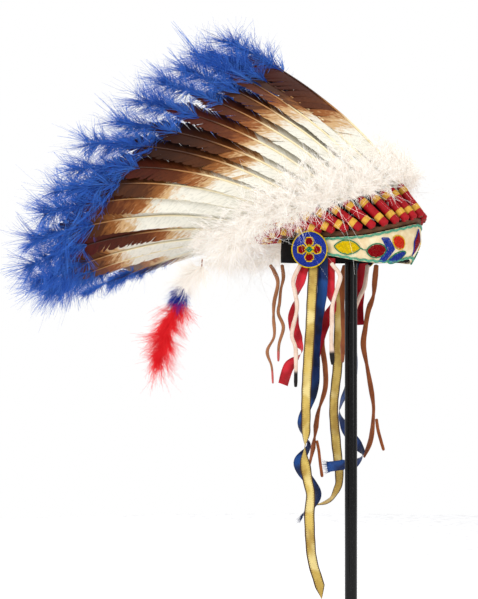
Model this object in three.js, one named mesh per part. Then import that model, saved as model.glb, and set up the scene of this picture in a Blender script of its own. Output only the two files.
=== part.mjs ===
// A feathered headdress on a plain pole stand. Millimetres, +Z up, +X is the wearer's front,
// -Y the wearer's right side. The origin is the middle of the stand's underside, on the floor.
//
// Thirty wrapped feathers stand in a ring round a felt skull cap, laced to a leather strip, and
// sweep back in a fan. Each lies over the front edge of the next one behind it, like a roof's tiles.
// A beaded browband crosses the forehead between two beaded rosettes, and ribbons, suede thongs
// and white drops hang from behind the rosettes.
import * as THREE from "three";

const DEG = Math.PI / 180;

// ---- Driving dimensions ----
const RIM_HEIGHT = 560; // the cap's lower edge above the floor
const CAP_CENTRE_X = -4; // the cap sits a little behind the pole
const CAP_LENGTH = 101; // half of the cap's length and width, outside
const CAP_WIDTH = 82;
const CAP_RISE = 106; // rim to crown
const CAP_WALL = 2.5;
const CAP_ROUNDNESS = 3; // the power of the crown's superellipse
const TUCK_DEPTH = 16; // how far the forehead's lower edge leans in
const TUCK_RISE = 40; // the height over which it does

const BAND_GAP = 3; // from the cap's outside to the browband's inside
const BAND_WALL = 3;
const BAND_REACH = 94; // degrees from the front to each end of the browband
const STRIP_WALL = 2;
const STRIP_TALL = 6.5;

const ROOT_LENGTH = 112; // half length and width of the ring on which the feathers stand
const ROOT_WIDTH = 91;
const FRONT_START = 13; // degrees from the front feather to the next
const FRONT_PITCH = 10; // between the feathers down to the rosettes
const REAR_PITCH = 15; // and behind them
const FRONT_COUNT = 10; // feathers a side at the front pitch
const REAR_COUNT = 4; // and a side at the rear pitch
const WRAP_LENGTH = 52;
const WRAP_RADIUS = 4.9;
const QUILL_RADIUS = 2.2;
const VANE_LENGTH = 352; // root to the vane's tip
const PLUME_LENGTH = 74; // the dyed plume past the tip
const SHINGLE_TILT = 23 * DEG; // how far each vane is rolled over its neighbour
const CENTRE_LIFT = 11; // the front feather lies over its neighbours, the rear one under them

const RIBBON_WIDTH = 15.5;
const RIBBON_WALL = 1;
const DROP_RADIUS = 3;
const THONG_RADIUS = 2.6;
const TAIL_RADIUS = 1.7; // the tails of a thong that is split at its end
const ROSETTE_RADIUS = 26.5;
const ROSETTE_WALL = 4;
const ROSETTE_X = -23;
const ROSETTE_Y = 99;
const ROSETTE_RISE = 17; // above the rim
const HANG_Y = 90; // the ribbons hang about this far out, behind the rosettes

const POLE_RADIUS = 9;
const BASE_RADIUS = 135;
const BASE_WALL = 7;

// ---- Materials ----
const material = (color, roughness, metalness = 0) =>
  new THREE.MeshStandardMaterial({ color, roughness, metalness });
const felt = material(0x141414, 0.95);
const leather = material(0x4a2f1e, 0.8);
const suede = material(0x8a4a22, 0.9);
const beadwork = material(0xe9e2c0, 0.45);
const rosetteBeads = material(0x3d4fa8, 0.4);
const vane = material(0x7a4a28, 0.7);
const down = material(0xf0ebe2, 0.95);
const gold = material(0xd9bf62, 0.5);
const navy = material(0x173a70, 0.5);
const red = material(0xb5161f, 0.5);
const fur = material(0xe8dcc8, 0.9);
const redDown = material(0xd8202a, 0.95);
const paint = material(0x1a1a1a, 0.4, 0.3);

const model = new THREE.Group();
model.name = "feathered_headdress";

// ---- Making shapes ----

// Turns a geometry round if its faces point inwards.
function facingOut(geometry) {
  const position = geometry.getAttribute("position");
  const index = geometry.index;
  const corner = [new THREE.Vector3(), new THREE.Vector3(), new THREE.Vector3()];
  let volume = 0;
  for (let i = 0; i < index.count; i += 3) {
    corner.forEach((v, k) => v.fromBufferAttribute(position, index.getX(i + k)));
    volume += corner[0].dot(corner[1].cross(corner[2]));
  }
  if (volume < 0) {
    for (let i = 0; i < index.count; i += 3) {
      const first = index.getX(i);
      index.setX(i, index.getX(i + 1));
      index.setX(i + 1, first);
    }
  }
  geometry.computeVertexNormals();
  return geometry;
}

// A closed solid through rings of points. A looped one joins its last ring to its first.
function loft(rings, looped = false) {
  const across = rings[0].length;
  const indices = [];
  const joins = looped ? rings.length : rings.length - 1;
  for (let i = 0; i < joins; i++) {
    const next = (i + 1) % rings.length;
    for (let j = 0; j < across; j++) {
      const k = (j + 1) % across;
      const [a, b, c, d] = [i * across + j, i * across + k, next * across + k, next * across + j];
      indices.push(a, b, c, a, c, d);
    }
  }
  if (!looped) {
    const last = (rings.length - 1) * across;
    for (let j = 1; j < across - 1; j++) {
      indices.push(0, j + 1, j, last, last + j, last + j + 1);
    }
  }
  const geometry = new THREE.BufferGeometry().setFromPoints(rings.flat());
  geometry.setIndex(indices);
  return facingOut(geometry);
}

function add(name, geometry, look, group = model) {
  const mesh = new THREE.Mesh(geometry, look);
  mesh.name = name;
  group.add(mesh);
  return mesh;
}

// A smooth curve through a table of values at evenly spread angles from the front to the back.
const TABLE_STEP = 30;
function fromFrontToBack(values) {
  const angles = values.map((_, i) => i * TABLE_STEP);
  const curve = new THREE.CubicInterpolant(angles, values, 1);
  return (angle) => curve.evaluate(Math.min(Math.abs(angle), 180))[0];
}

// A steady number between -1 and 1 for each feather, so that no two lie quite alike.
function wobble(index, salt) {
  const wave = Math.sin(index * 12.9898 + salt * 78.233) * 43758.5453;
  return 2 * (wave - Math.floor(wave)) - 1;
}

// ---- The cap and what lies round it ----

// How far the forehead leans in at a height above the rim.
function tuck(angle, rise) {
  const share = Math.max(0, 1 - rise / TUCK_RISE);
  const front = Math.max(0, Math.cos(angle * DEG));
  return TUCK_DEPTH * share * share * front * front;
}

// A point round the cap, a distance outside its wall. Angles run from the front to the right.
function aroundCap(angle, rise, outside) {
  const inward = tuck(angle, rise);
  return new THREE.Vector3(
    CAP_CENTRE_X + (CAP_LENGTH + outside - inward) * Math.cos(angle * DEG),
    -(CAP_WIDTH + outside - inward / 2) * Math.sin(angle * DEG),
    RIM_HEIGHT + rise,
  );
}

function cap() {
  const profile = [];
  const STEPS = 6;
  const crown = (share, wall) => {
    const rise = Math.sin((share * Math.PI) / 2) * (CAP_RISE - wall);
    const left = 1 - (rise / (CAP_RISE - wall)) ** CAP_ROUNDNESS;
    return [Math.max(0, left) ** (1 / CAP_ROUNDNESS), rise];
  };
  for (let i = 0; i <= STEPS; i++) profile.push([...crown(1 - i / STEPS, 0), 0]);
  for (let i = 0; i <= STEPS; i++) profile.push([...crown(i / STEPS, CAP_WALL), CAP_WALL]);
  const turns = 36;
  const points = profile.map(([radius, rise]) => new THREE.Vector2(radius, rise));
  const geometry = new THREE.LatheGeometry(points, turns);
  geometry.deleteAttribute("normal");
  geometry.deleteAttribute("uv");
  const position = geometry.getAttribute("position");
  for (let i = 0; i < position.count; i++) {
    const [, rise, wall] = profile[i % profile.length];
    const turn = Math.floor(i / profile.length) % turns;
    const radius = profile[i % profile.length][0];
    const rim = aroundCap((turn / turns) * 360, rise, -wall);
    position.setXYZ(
      i,
      CAP_CENTRE_X + (rim.x - CAP_CENTRE_X) * radius,
      rim.y * radius,
      RIM_HEIGHT + rise,
    );
  }
  add("cap", facingOut(geometry), felt);
}

// The browband's upper and lower edges above the rim.
const bandTop = fromFrontToBack([54, 47, 37, 34, 34, 34, 34]);
const bandBottom = fromFrontToBack([4, -2, 0, 9, 12, 12, 12]);

function browband() {
  const rings = [];
  const steps = 36;
  const rows = 3;
  for (let i = 0; i <= steps; i++) {
    const angle = THREE.MathUtils.lerp(-BAND_REACH, BAND_REACH, i / steps);
    const heights = [];
    for (let row = 0; row <= rows; row++) {
      heights.push(THREE.MathUtils.lerp(bandBottom(angle), bandTop(angle), row / rows));
    }
    const outer = heights.map((rise) => aroundCap(angle, rise, BAND_GAP + BAND_WALL));
    const inner = heights.map((rise) => aroundCap(angle, rise, BAND_GAP)).reverse();
    rings.push([...outer, ...inner]);
  }
  add("browband", loft(rings), beadwork);
}

// The brown leather strip to which the feathers' roots are laced. It flares out over the forehead.
const stripRise = fromFrontToBack([55.5, 48.5, 38.5, 35.5, 35, 35, 35]);
const stripFlare = fromFrontToBack([3, 2.5, 0.5, 0, 0, 0, 0]);

function lacingStrip() {
  const rings = [];
  const turns = 48;
  for (let i = 0; i < turns; i++) {
    const angle = THREE.MathUtils.lerp(-180, 180, i / turns);
    const low = stripRise(angle);
    const high = low + STRIP_TALL;
    const flare = stripFlare(angle);
    rings.push([
      aroundCap(angle, low, 1.5 + STRIP_WALL),
      aroundCap(angle, high, 1.5 + STRIP_WALL + flare),
      aroundCap(angle, high, 1.5 + flare),
      aroundCap(angle, low, 1.5),
    ]);
  }
  add("lacing_strip", loft(rings, true), leather);
}

function rosette(side) {
  const half = ROSETTE_WALL / 2;
  const profile = [
    [0, -half],
    [ROSETTE_RADIUS - 1, -half],
    [ROSETTE_RADIUS, 0],
    [ROSETTE_RADIUS - 2, half],
    [0, half + 0.8],
  ];
  const points = profile.map(([radius, rise]) => new THREE.Vector2(radius, rise));
  const geometry = new THREE.LatheGeometry(points, 28);
  const mesh = add(`rosette_${side < 0 ? "right" : "left"}`, geometry, rosetteBeads);
  // The lathe's axis is the disc's outward axis. It turns a little to the front.
  mesh.rotation.z = side < 0 ? Math.PI + 8 * DEG : -8 * DEG;
  mesh.position.set(ROSETTE_X, side * ROSETTE_Y, RIM_HEIGHT + ROSETTE_RISE);
}

// ---- The feathers ----

const rootRise = fromFrontToBack([66, 57, 47, 43, 41, 38, 37]);
const rootPitchUp = fromFrontToBack([50, 47, 38, 25, 11, -1, -6]); // degrees above level, at the root
const tipPitchUp = fromFrontToBack([31, 27, 14, -3, -14, -19, -20]); // and at the tip
const rootSpread = fromFrontToBack([0, 6, 15, 24, 25, 17, 0]); // degrees out from straight back
const tipSpread = fromFrontToBack([0, 5, 10, 13, 11, 6, 0]);
const lengthShare = fromFrontToBack([1, 1, 0.99, 0.97, 0.95, 0.94, 0.94]);

// Half the width and half the thickness of a feather's solid along it, as [distance, width, thickness].
const OUTLINE = [
  [0, WRAP_RADIUS, WRAP_RADIUS],
  [WRAP_LENGTH, WRAP_RADIUS, WRAP_RADIUS],
  [WRAP_LENGTH + 4, QUILL_RADIUS + 1, QUILL_RADIUS],
  [WRAP_LENGTH + 30, 11, 1.4],
  [130, 19, 1.1],
  [190, 25, 1.1],
  [260, 28, 1.1],
  [320, 22, 1.1],
  [VANE_LENGTH - 6, 14, 3],
  [VANE_LENGTH + 18, 16, 6],
  [VANE_LENGTH + 50, 15, 6],
  [VANE_LENGTH + PLUME_LENGTH, 6, 2.5],
];
const SPINE_STEP = 2;

// The point and the direction at each step along the feather that stands at an angle round the cap.
function spine(angle, sway = { up: 0, out: 0, long: 1 }) {
  const side = angle < 0 ? 1 : -1;
  const root = new THREE.Vector3(
    CAP_CENTRE_X + ROOT_LENGTH * Math.cos(angle * DEG),
    -ROOT_WIDTH * Math.sin(angle * DEG),
    RIM_HEIGHT + rootRise(angle),
  );
  const points = [];
  const total = VANE_LENGTH + PLUME_LENGTH;
  for (let along = 0; along <= total; along += SPINE_STEP) {
    const bend = THREE.MathUtils.smoothstep(along, WRAP_LENGTH - 20, VANE_LENGTH);
    const droop = Math.max(0, along - VANE_LENGTH) / PLUME_LENGTH;
    const up = THREE.MathUtils.lerp(rootPitchUp(angle), tipPitchUp(angle), bend);
    const out = THREE.MathUtils.lerp(rootSpread(angle), tipSpread(angle), bend);
    const rise = (up + sway.up * bend - 14 * droop) * DEG;
    const turn = (out + sway.out * bend) * DEG;
    const direction = new THREE.Vector3(
      -Math.cos(rise) * Math.cos(turn),
      side * Math.cos(rise) * Math.sin(turn),
      Math.sin(rise),
    );
    points.push({ at: root.clone(), direction });
    root.addScaledVector(direction, SPINE_STEP * sway.long * lengthShare(angle));
  }
  return points;
}

// The feather's point, and its across and outward directions, at a distance along it.
function station(angle, along, sway, roll = 0) {
  const step = Math.round(along / SPINE_STEP);
  const here = spine(angle, sway)[step];
  const ahead = spine(angle + 2, sway)[step].at;
  const behind = spine(angle - 2, sway)[step].at;
  const across = ahead.sub(behind);
  across.addScaledVector(here.direction, -across.dot(here.direction)).normalize();
  const out = new THREE.Vector3().crossVectors(here.direction, across).normalize();
  if (roll) {
    across.applyAxisAngle(here.direction, roll);
    out.applyAxisAngle(here.direction, roll);
  }
  return { at: here.at, across, out };
}

function featherSolid(angle, index) {
  const middle = angle === 0 || angle === 180;
  const sway = middle
    ? { up: 0, out: 0, long: 1 }
    : { up: 0.5 * wobble(index, 2), out: 0.2 * wobble(index, 22), long: 1 + 0.02 * wobble(index, 42) };
  const rings = OUTLINE.map(([along, wide, thick]) => {
    const settled = THREE.MathUtils.smoothstep(along, WRAP_LENGTH - 12, WRAP_LENGTH + 24);
    // The roll lifts the edge that lies toward the next feather behind.
    const roll = middle ? 0 : Math.sign(angle) * SHINGLE_TILT * settled;
    const { at, across, out } = station(angle, along, sway, roll);
    const lift = middle ? CENTRE_LIFT * settled * (angle === 0 ? 1 : -1) : 0;
    at.addScaledVector(out, lift);
    const ring = [];
    for (let corner = 0; corner < 8; corner++) {
      const turn = (corner * Math.PI) / 4;
      const point = at.clone();
      point.addScaledVector(across, wide * Math.cos(turn));
      point.addScaledVector(out, thick * Math.sin(turn));
      ring.push(point);
    }
    return ring;
  });
  return loft(rings);
}

function featherAngles() {
  const side = [];
  for (let i = 0; i < FRONT_COUNT; i++) side.push(FRONT_START + i * FRONT_PITCH);
  for (let i = 1; i <= REAR_COUNT; i++) side.push(side[FRONT_COUNT - 1] + i * REAR_PITCH);
  return [0, ...side, 180, ...side.map((angle) => -angle)];
}

function feathers() {
  featherAngles().forEach((angle, index) => {
    const side = angle === 0 || angle === 180 ? "middle" : angle > 0 ? "right" : "left";
    const name = `feather_${side}_${String(Math.abs(angle)).padStart(3, "0")}`;
    add(name, featherSolid(angle, index), vane);
  });
}

// The white down round the feathers' feet, as one soft collar in four lengths.
const DOWN_SECTION = [
  [WRAP_LENGTH - 2, 8.5, 0],
  [WRAP_LENGTH + 44, 10.5, 0],
  [WRAP_LENGTH + 84, 12.5, 0],
  [WRAP_LENGTH + 80, 15, 4],
  [WRAP_LENGTH + 50, 20, 14],
  [WRAP_LENGTH + 16, 20, 14],
  [WRAP_LENGTH - 2, 13, 6],
]; // [distance along the feather, height over it, and how much higher that is at the back]

function downCollar(name, from, to) {
  const rings = [];
  const steps = 12;
  for (let i = 0; i <= steps; i++) {
    const angle = THREE.MathUtils.lerp(from, to, i / steps);
    rings.push(
      DOWN_SECTION.map(([along, height, sag]) => {
        const { at, out } = station(angle > 180 ? angle - 360 : angle, along);
        const lift = (CENTRE_LIFT + 2) * (1 - THREE.MathUtils.smoothstep(Math.abs(angle), 12, 22));
        const low = sag * THREE.MathUtils.smoothstep(Math.abs(angle > 180 ? angle - 360 : angle), 90, 140);
        return at.addScaledVector(out, height + lift + low);
      }),
    );
  }
  add(name, loft(rings), down);
}

// ---- What hangs from the cap ----

// A point beside a rosette: ahead of its middle, below the cap's rim, and out from the side.
function hang(side, [ahead, below, out]) {
  return new THREE.Vector3(ROSETTE_X + ahead, side * (HANG_Y + out), RIM_HEIGHT - below);
}

// A flat ribbon through points given as [ahead, below, out, twist in degrees].
function ribbon(name, side, route, look, width = RIBBON_WIDTH) {
  const curve = new THREE.CatmullRomCurve3(route.map((stop) => hang(side, stop)), false, "centripetal");
  const steps = Math.round(curve.getLength() / 13);
  const rings = [];
  for (let i = 0; i <= steps; i++) {
    const at = curve.getPoint(i / steps);
    const along = curve.getTangent(i / steps);
    const stop = (i / steps) * (route.length - 1);
    const before = Math.min(Math.floor(stop), route.length - 2);
    const twist = THREE.MathUtils.lerp(route[before][3], route[before + 1][3], stop - before) * DEG;
    const face = new THREE.Vector3(0, side, 0);
    face.addScaledVector(along, -face.dot(along)).normalize();
    const across = new THREE.Vector3().crossVectors(along, face);
    face.applyAxisAngle(along, twist);
    across.applyAxisAngle(along, twist);
    const corner = (u, v) => {
      const point = at.clone().addScaledVector(across, (u * width) / 2);
      return point.addScaledVector(face, (v * RIBBON_WALL) / 2);
    };
    rings.push([corner(-1, -1), corner(1, -1), corner(1, 1), corner(-1, 1)]);
  }
  add(name, loft(rings), look);
}

// A round cord through points.
function cord(name, points, radius, look) {
  const curve = new THREE.CatmullRomCurve3(points, false, "centripetal");
  const sides = [];
  for (let i = 0; i < 8; i++) {
    const turn = (i * Math.PI) / 4;
    sides.push(new THREE.Vector2(radius * Math.cos(turn), radius * Math.sin(turn)));
  }
  const steps = Math.max(6, Math.round(curve.getLength() / (5 * radius)));
  const geometry = new THREE.ExtrudeGeometry(new THREE.Shape(sides), { steps, extrudePath: curve });
  add(name, geometry, look);
}

function hangings(side, name, routes) {
  routes.ribbons.forEach(([what, look, route]) => ribbon(`${what}_${name}`, side, route, look));
  routes.cords.forEach(([what, look, radius, route]) => {
    cord(`${what}_${name}`, route.map((stop) => hang(side, stop)), radius, look);
  });
}

const RIGHT = {
  ribbons: [
    ["gold_ribbon", gold, [
      [3, -5, 0.8, 0], [2, 41, 4, 0], [0, 90, 6, 4], [-3, 128, 6, -4], [-6, 180, 6, 4], [-7, 240, 6, 10],
      [-10, 273, 6, 95], [-6, 300, 6, 175], [0, 331, 6, 190], [-2, 360, 6, 172], [2, 415, 6, 182],
      [12, 450, 6, 180], [21, 474, 6, 180],
    ]],
    ["blue_ribbon", navy, [
      [16, -5, -0.6, 0], [13, 41, -7, 0], [4, 86, -12, 10], [-2, 125, -15, 0], [-5, 181, -17, 0],
      [-24, 232, -17, 20], [-14, 261, -18, 90], [-28, 290, -18, 165], [0, 331, -18, 200], [-24, 364, -18, 250],
    ]],
    ["red_ribbon_back", red, [
      [-9, -5, -0.6, 0], [-19, 29, -2, 10], [-28, 58, -4, 80], [-31, 86, -5, 170], [-24, 110, -5, 180],
      [-18, 128, -5, 240], [-38, 149, -5, 340], [-47, 175, -5, 360],
    ]],
    ["red_ribbon_front", red, [
      [26, -5, -3, 0], [22, 41, -14, 0], [25, 61, -22, 40], [13, 78, -27, 10], [-1, 110, -29, 0], [-10, 141, -29, 0],
    ]],
  ],
  cords: [
    ["white_drop_back", fur, DROP_RADIUS, [
      [-16, 3, 4], [-25, 26, 9], [-22, 44, 10], [-19, 67, 10], [-27, 103, 10], [-21, 125, 10], [-21, 177, 10],
    ]],
    ["white_drop_front", fur, DROP_RADIUS, [
      [31, 3, 3], [44, 19, 4], [42, 32, 4], [33, 61, 4], [32, 86, 4], [31, 110, 4], [33, 145, 4],
    ]],
    ["thong_side", suede, THONG_RADIUS, [
      [13, 8, -10], [4, 40, -30], [-1, 76, -40], [0, 120, -38], [5, 151, -36], [5, 181, -36], [-6, 216, -36],
      [-11, 249, -36], [-15, 272, -36], [-21, 297, -36],
    ]],
    ["thong_tail_side", suede, TAIL_RADIUS, [
      [-6, 256, -31.5], [-3, 270, -31.5], [-1, 288, -32], [2, 307, -32],
    ]],
  ],
};

const LEFT = {
  ribbons: [
    ["gold_ribbon", gold, [
      [-12, -5, 0.8, 0], [-24, 25, 4, 0], [-34, 55, 6, 0], [-36, 104, 6, 6], [-37, 154, 6, -4], [-44, 216, 6, 8],
      [-40, 265, 6, -4], [-34, 318, 6, 10], [-39, 340, 6, 30], [-53, 357, 6, 60], [-73, 362, 6, 70],
    ]],
    ["blue_ribbon", navy, [
      [-6, -5, -1, 0], [-11, 30, -7, 0], [-10, 60, -9, 20], [-8, 119, -9, -10], [-8, 171, -9, 0],
      [-28, 216, -10, 60], [-18, 245, -12, 130], [2, 270, -12, 180], [11, 284, -14, 240], [-1, 298, -20, 300],
      [-18, 300, -22, 340], [-43, 304, -22, 360],
    ]],
    ["red_ribbon", red, [
      [7, -5, 0.8, 0], [-2, 45, 7, 0], [-4, 70, 8, 10], [-3, 92, 8, 0],
    ]],
  ],
  cords: [
    ["white_drop", fur, DROP_RADIUS, [
      [16, 3, -6], [16, 17, -11], [14, 35, -14], [9, 50, -20], [2, 71, -22], [-2, 100, -22],
    ]],
    ["thong_back", suede, THONG_RADIUS, [
      [-22, 3, -4], [-25, 30, -5], [-24, 64, -7], [-23, 105, -7], [-24, 147, -7],
    ]],
    ["thong_side", suede, THONG_RADIUS, [
      [29, 3, -4], [25, 26, 0], [22, 48, 2], [14, 70, 2], [9, 97, 2], [6, 122, 2], [12, 154, 2], [21, 203, 2],
      [22, 226, 2], [18, 262, 2], [7, 289, 2],
    ]],
    ["thong_tail_side", suede, TAIL_RADIUS, [
      [27, 232, 2], [29, 246, 2], [33, 262, 3], [38, 278, 3],
    ]],
  ],
};

// The thong at the back of the cap is two strands from one knot.
const BACK_THONG_AT = [-99, -47];
function backThong() {
  const at = ([ahead, below, out]) =>
    new THREE.Vector3(BACK_THONG_AT[0] + ahead, BACK_THONG_AT[1] - out, RIM_HEIGHT - below);
  const long = [
    [-8, 4, 0], [-2, 13, 0], [4, 30, 0], [-2, 58, 0], [-3, 80, 0], [-2, 107, 0], [-13, 129, 0], [-6, 151, 0],
    [-4, 175, 0],
  ];
  const short = [
    [8, 4, -6], [10, 22, -6], [6, 39, -6], [4, 58, -6], [2, 74, -6], [10, 94, -6], [3, 119, -6], [2, 143, -6],
  ];
  cord("back_thong_long", long.map(at), THONG_RADIUS - 0.3, suede);
  cord("back_thong_short", short.map(at), THONG_RADIUS - 0.3, suede);
}

// The white, blue and red plume that hangs on a thong below the fan, on the right.
const TAIL_PLUME_TOP = [-199, -84, RIM_HEIGHT + 5];
const TAIL_PLUME_SECTION = [
  [0, 0, 1.8],
  [-2, 14, 2],
  [-12, 20, 12],
  [-28, 32, 22],
  [-34, 44, 12],
  [-37, 50, 6],
  [-38, 58, 14],
  [-40, 68, 19],
  [-44, 76, 16],
  [-50, 84, 10],
  [-58, 104, 9],
  [-66, 126, 9],
  [-72, 150, 9],
  [-74, 172, 7],
  [-72, 186, 4],
]; // [ahead, below, radius]

function tailPlume() {
  const rings = TAIL_PLUME_SECTION.map(([ahead, below, radius]) => {
    const ring = [];
    for (let i = 0; i < 10; i++) {
      const turn = (i * Math.PI) / 5;
      const point = new THREE.Vector3(radius * Math.cos(turn), 0.8 * radius * Math.sin(turn), 0);
      point.add(new THREE.Vector3(...TAIL_PLUME_TOP)).add(new THREE.Vector3(ahead, 0, -below));
      ring.push(point);
    }
    return ring;
  });
  add("tail_plume", loft(rings), redDown);
}

// ---- The stand ----

function lathe(name, profile, turns, look) {
  const points = profile.map(([radius, height]) => new THREE.Vector2(radius, height));
  const mesh = add(name, new THREE.LatheGeometry(points, turns), look);
  mesh.rotation.x = Math.PI / 2;
}

function stand() {
  lathe("stand_base", [[0, 0], [BASE_RADIUS - 1, 0], [BASE_RADIUS, 1], [BASE_RADIUS, BASE_WALL - 2],
    [BASE_RADIUS - 2, BASE_WALL], [0, BASE_WALL]], 48, paint);
  const top = RIM_HEIGHT + CAP_RISE - CAP_WALL - 0.5;
  lathe("stand_pole", [[0, BASE_WALL + 0.3], [POLE_RADIUS, BASE_WALL + 0.3], [POLE_RADIUS, top - 34],
    [POLE_RADIUS + 5, top - 28], [36, top - 18], [40, top - 12], [36, top - 6], [18, top - 1.5], [0, top]],
  16, paint);
}

cap();
browband();
lacingStrip();
rosette(-1);
rosette(1);
feathers();
downCollar("down_front", -44, 44);
downCollar("down_right", 46, 134);
downCollar("down_left", -134, -46);
downCollar("down_back", 136, 224);
hangings(-1, "right", RIGHT);
hangings(1, "left", LEFT);
backThong();
tailPlume();
stand();

export default model;
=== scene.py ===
"""A feathered headdress on a plain pole stand, dressed for looks around its CAD frame.

Metres, +Z up. +X is the wearer's front and -Y the wearer's right side.
"""

import math

import bpy
import numpy as np
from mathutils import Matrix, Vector


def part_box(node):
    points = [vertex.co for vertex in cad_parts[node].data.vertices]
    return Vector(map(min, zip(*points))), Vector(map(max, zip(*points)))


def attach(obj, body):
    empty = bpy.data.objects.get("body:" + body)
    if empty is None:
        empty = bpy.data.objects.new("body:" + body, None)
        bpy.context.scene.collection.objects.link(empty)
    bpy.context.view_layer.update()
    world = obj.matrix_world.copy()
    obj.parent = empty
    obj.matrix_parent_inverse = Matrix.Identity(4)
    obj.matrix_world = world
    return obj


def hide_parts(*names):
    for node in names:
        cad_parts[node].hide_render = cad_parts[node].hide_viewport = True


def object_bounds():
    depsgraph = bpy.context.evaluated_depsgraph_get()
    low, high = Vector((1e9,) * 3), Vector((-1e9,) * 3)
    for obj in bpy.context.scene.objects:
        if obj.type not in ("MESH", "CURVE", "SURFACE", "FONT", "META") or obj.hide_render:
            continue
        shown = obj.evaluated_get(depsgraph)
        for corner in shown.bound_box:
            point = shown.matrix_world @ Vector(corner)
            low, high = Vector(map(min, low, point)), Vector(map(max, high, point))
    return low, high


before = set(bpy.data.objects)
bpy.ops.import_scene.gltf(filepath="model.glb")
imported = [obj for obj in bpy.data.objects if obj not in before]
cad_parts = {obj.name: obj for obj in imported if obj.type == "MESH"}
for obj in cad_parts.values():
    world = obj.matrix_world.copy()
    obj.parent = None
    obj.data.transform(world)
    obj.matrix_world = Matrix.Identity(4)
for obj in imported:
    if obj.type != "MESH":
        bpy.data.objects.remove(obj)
cad_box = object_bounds()
scene = bpy.context.scene
MM = 0.001
UP = np.array([0.0, 0.0, 1.0])

# ---- The cap, from which the rest is placed ----

CAP_LOW, CAP_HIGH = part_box("cap")
RIM = CAP_LOW.z
CAP_LENGTH = 101 * MM
CAP_X = CAP_LOW.x + CAP_LENGTH
CAP_WIDTH = (CAP_HIGH.y - CAP_LOW.y) / 2
CAP_RISE = CAP_HIGH.z - CAP_LOW.z
CAP_ROUNDNESS = 3
CAP_WALL = 2.5 * MM
TUCK_DEPTH = 16 * MM
TUCK_RISE = 40 * MM


def around_cap(angle, rise, outside):
    """Points round the cap. The angle runs in degrees from the front to the wearer's right."""
    angle, rise, outside = np.broadcast_arrays(np.radians(angle), rise, outside)
    share = np.clip(1 - rise / TUCK_RISE, 0, None)
    tuck = TUCK_DEPTH * share**2 * np.clip(np.cos(angle), 0, None) ** 2
    return np.stack(
        [
            CAP_X + (CAP_LENGTH + outside - tuck) * np.cos(angle),
            -(CAP_WIDTH + outside - tuck / 2) * np.sin(angle),
            RIM + rise,
        ],
        -1,
    )


def between(a, b, c, d, t):
    """The smooth curve's place a share t of the way from b to c. a and d are their neighbours."""
    bend = (2 * a - 5 * b + 4 * c - d) * t**2 + (3 * b - a - 3 * c + d) * t**3
    return 0.5 * (2 * b + (c - a) * t + bend)


def from_front_to_back(values):
    """A smooth curve through values, in millimetres, given each 30 degrees from front to back."""
    knots = np.arange(-1, 8) * 30.0
    padded = np.array([values[1], *values, values[-2]]) * MM

    def at(angle):
        angle = np.clip(np.abs(angle), 0, 180)
        cell = np.clip((angle // 30).astype(int) + 1, 1, 6)
        t = (angle - knots[cell]) / 30
        return between(*(padded[cell + k] for k in (-1, 0, 1, 2)), t)

    return at


# ---- Camera and light ----

VIEW_TURN = math.radians(25)
VIEW_DISTANCE = 3.0
VIEW_LENS = 124.3
VIEW_ASIDE = -0.1624
VIEW_BELOW_RIM = 0.0537
VIEW_RIGHT = Vector((math.cos(VIEW_TURN), math.sin(VIEW_TURN), 0))
VIEW_BACK = Vector((math.sin(VIEW_TURN), -math.cos(VIEW_TURN), 0))


def camera():
    data = bpy.data.cameras.new("camera")
    data.lens = VIEW_LENS
    data.sensor_width = 36
    data.dof.use_dof = False
    made = bpy.data.objects.new("camera", data)
    target = VIEW_RIGHT * VIEW_ASIDE + Vector((0, 0, RIM - VIEW_BELOW_RIM))
    made.location = target + VIEW_BACK * VIEW_DISTANCE
    made.rotation_euler = (-VIEW_BACK).to_track_quat("-Z", "Y").to_euler()
    scene.collection.objects.link(made)
    scene.camera = made


def softbox(name, place, size, power, target=(-0.12, 0, 0.6)):
    data = bpy.data.lights.new(name, "AREA")
    data.shape = "RECTANGLE"
    data.size, data.size_y = size
    data.energy = power
    made = bpy.data.objects.new(name, data)
    made.location = place
    aim = Vector(target) - Vector(place)
    made.rotation_euler = aim.to_track_quat("-Z", "Y").to_euler()
    scene.collection.objects.link(made)


def lights():
    key = VIEW_BACK * 1.9 - VIEW_RIGHT * 1.3 + Vector((0, 0, 1.7))
    fill = VIEW_BACK * 1.8 + VIEW_RIGHT * 1.7 + Vector((0, 0, 1.0))
    softbox("key", key, (1.1, 1.4), 27)
    softbox("fill", fill, (0.9, 1.6), 12)
    softbox("top", (-0.1, 0.3, 2.6), (1.8, 1.8), 17)
    softbox("rim", -VIEW_BACK * 1.5 - VIEW_RIGHT * 1.2 + Vector((0, 0, 1.3)), (1.2, 1.2), 9)
    world = bpy.data.worlds.new("studio")
    world.use_nodes = True
    tree = world.node_tree
    glow = tree.nodes["Background"]
    glow.inputs["Color"].default_value = (1.0, 1.0, 1.0, 1)
    glow.inputs["Strength"].default_value = 0.62
    seen = tree.nodes.new("ShaderNodeBackground")
    seen.inputs["Color"].default_value = (1.0, 1.0, 1.0, 1)
    either = tree.nodes.new("ShaderNodeMixShader")
    rays = tree.nodes.new("ShaderNodeLightPath")
    tree.links.new(rays.outputs["Is Camera Ray"], either.inputs["Fac"])
    tree.links.new(glow.outputs[0], either.inputs[1])
    tree.links.new(seen.outputs[0], either.inputs[2])
    tree.links.new(either.outputs[0], tree.nodes["World Output"].inputs["Surface"])
    scene.world = world
    scene.view_settings.view_transform = "Standard"


camera()
lights()

# ---- Building meshes ----


def unit(vectors):
    return vectors / np.maximum(np.linalg.norm(vectors, axis=-1, keepdims=True), 1e-12)


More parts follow.
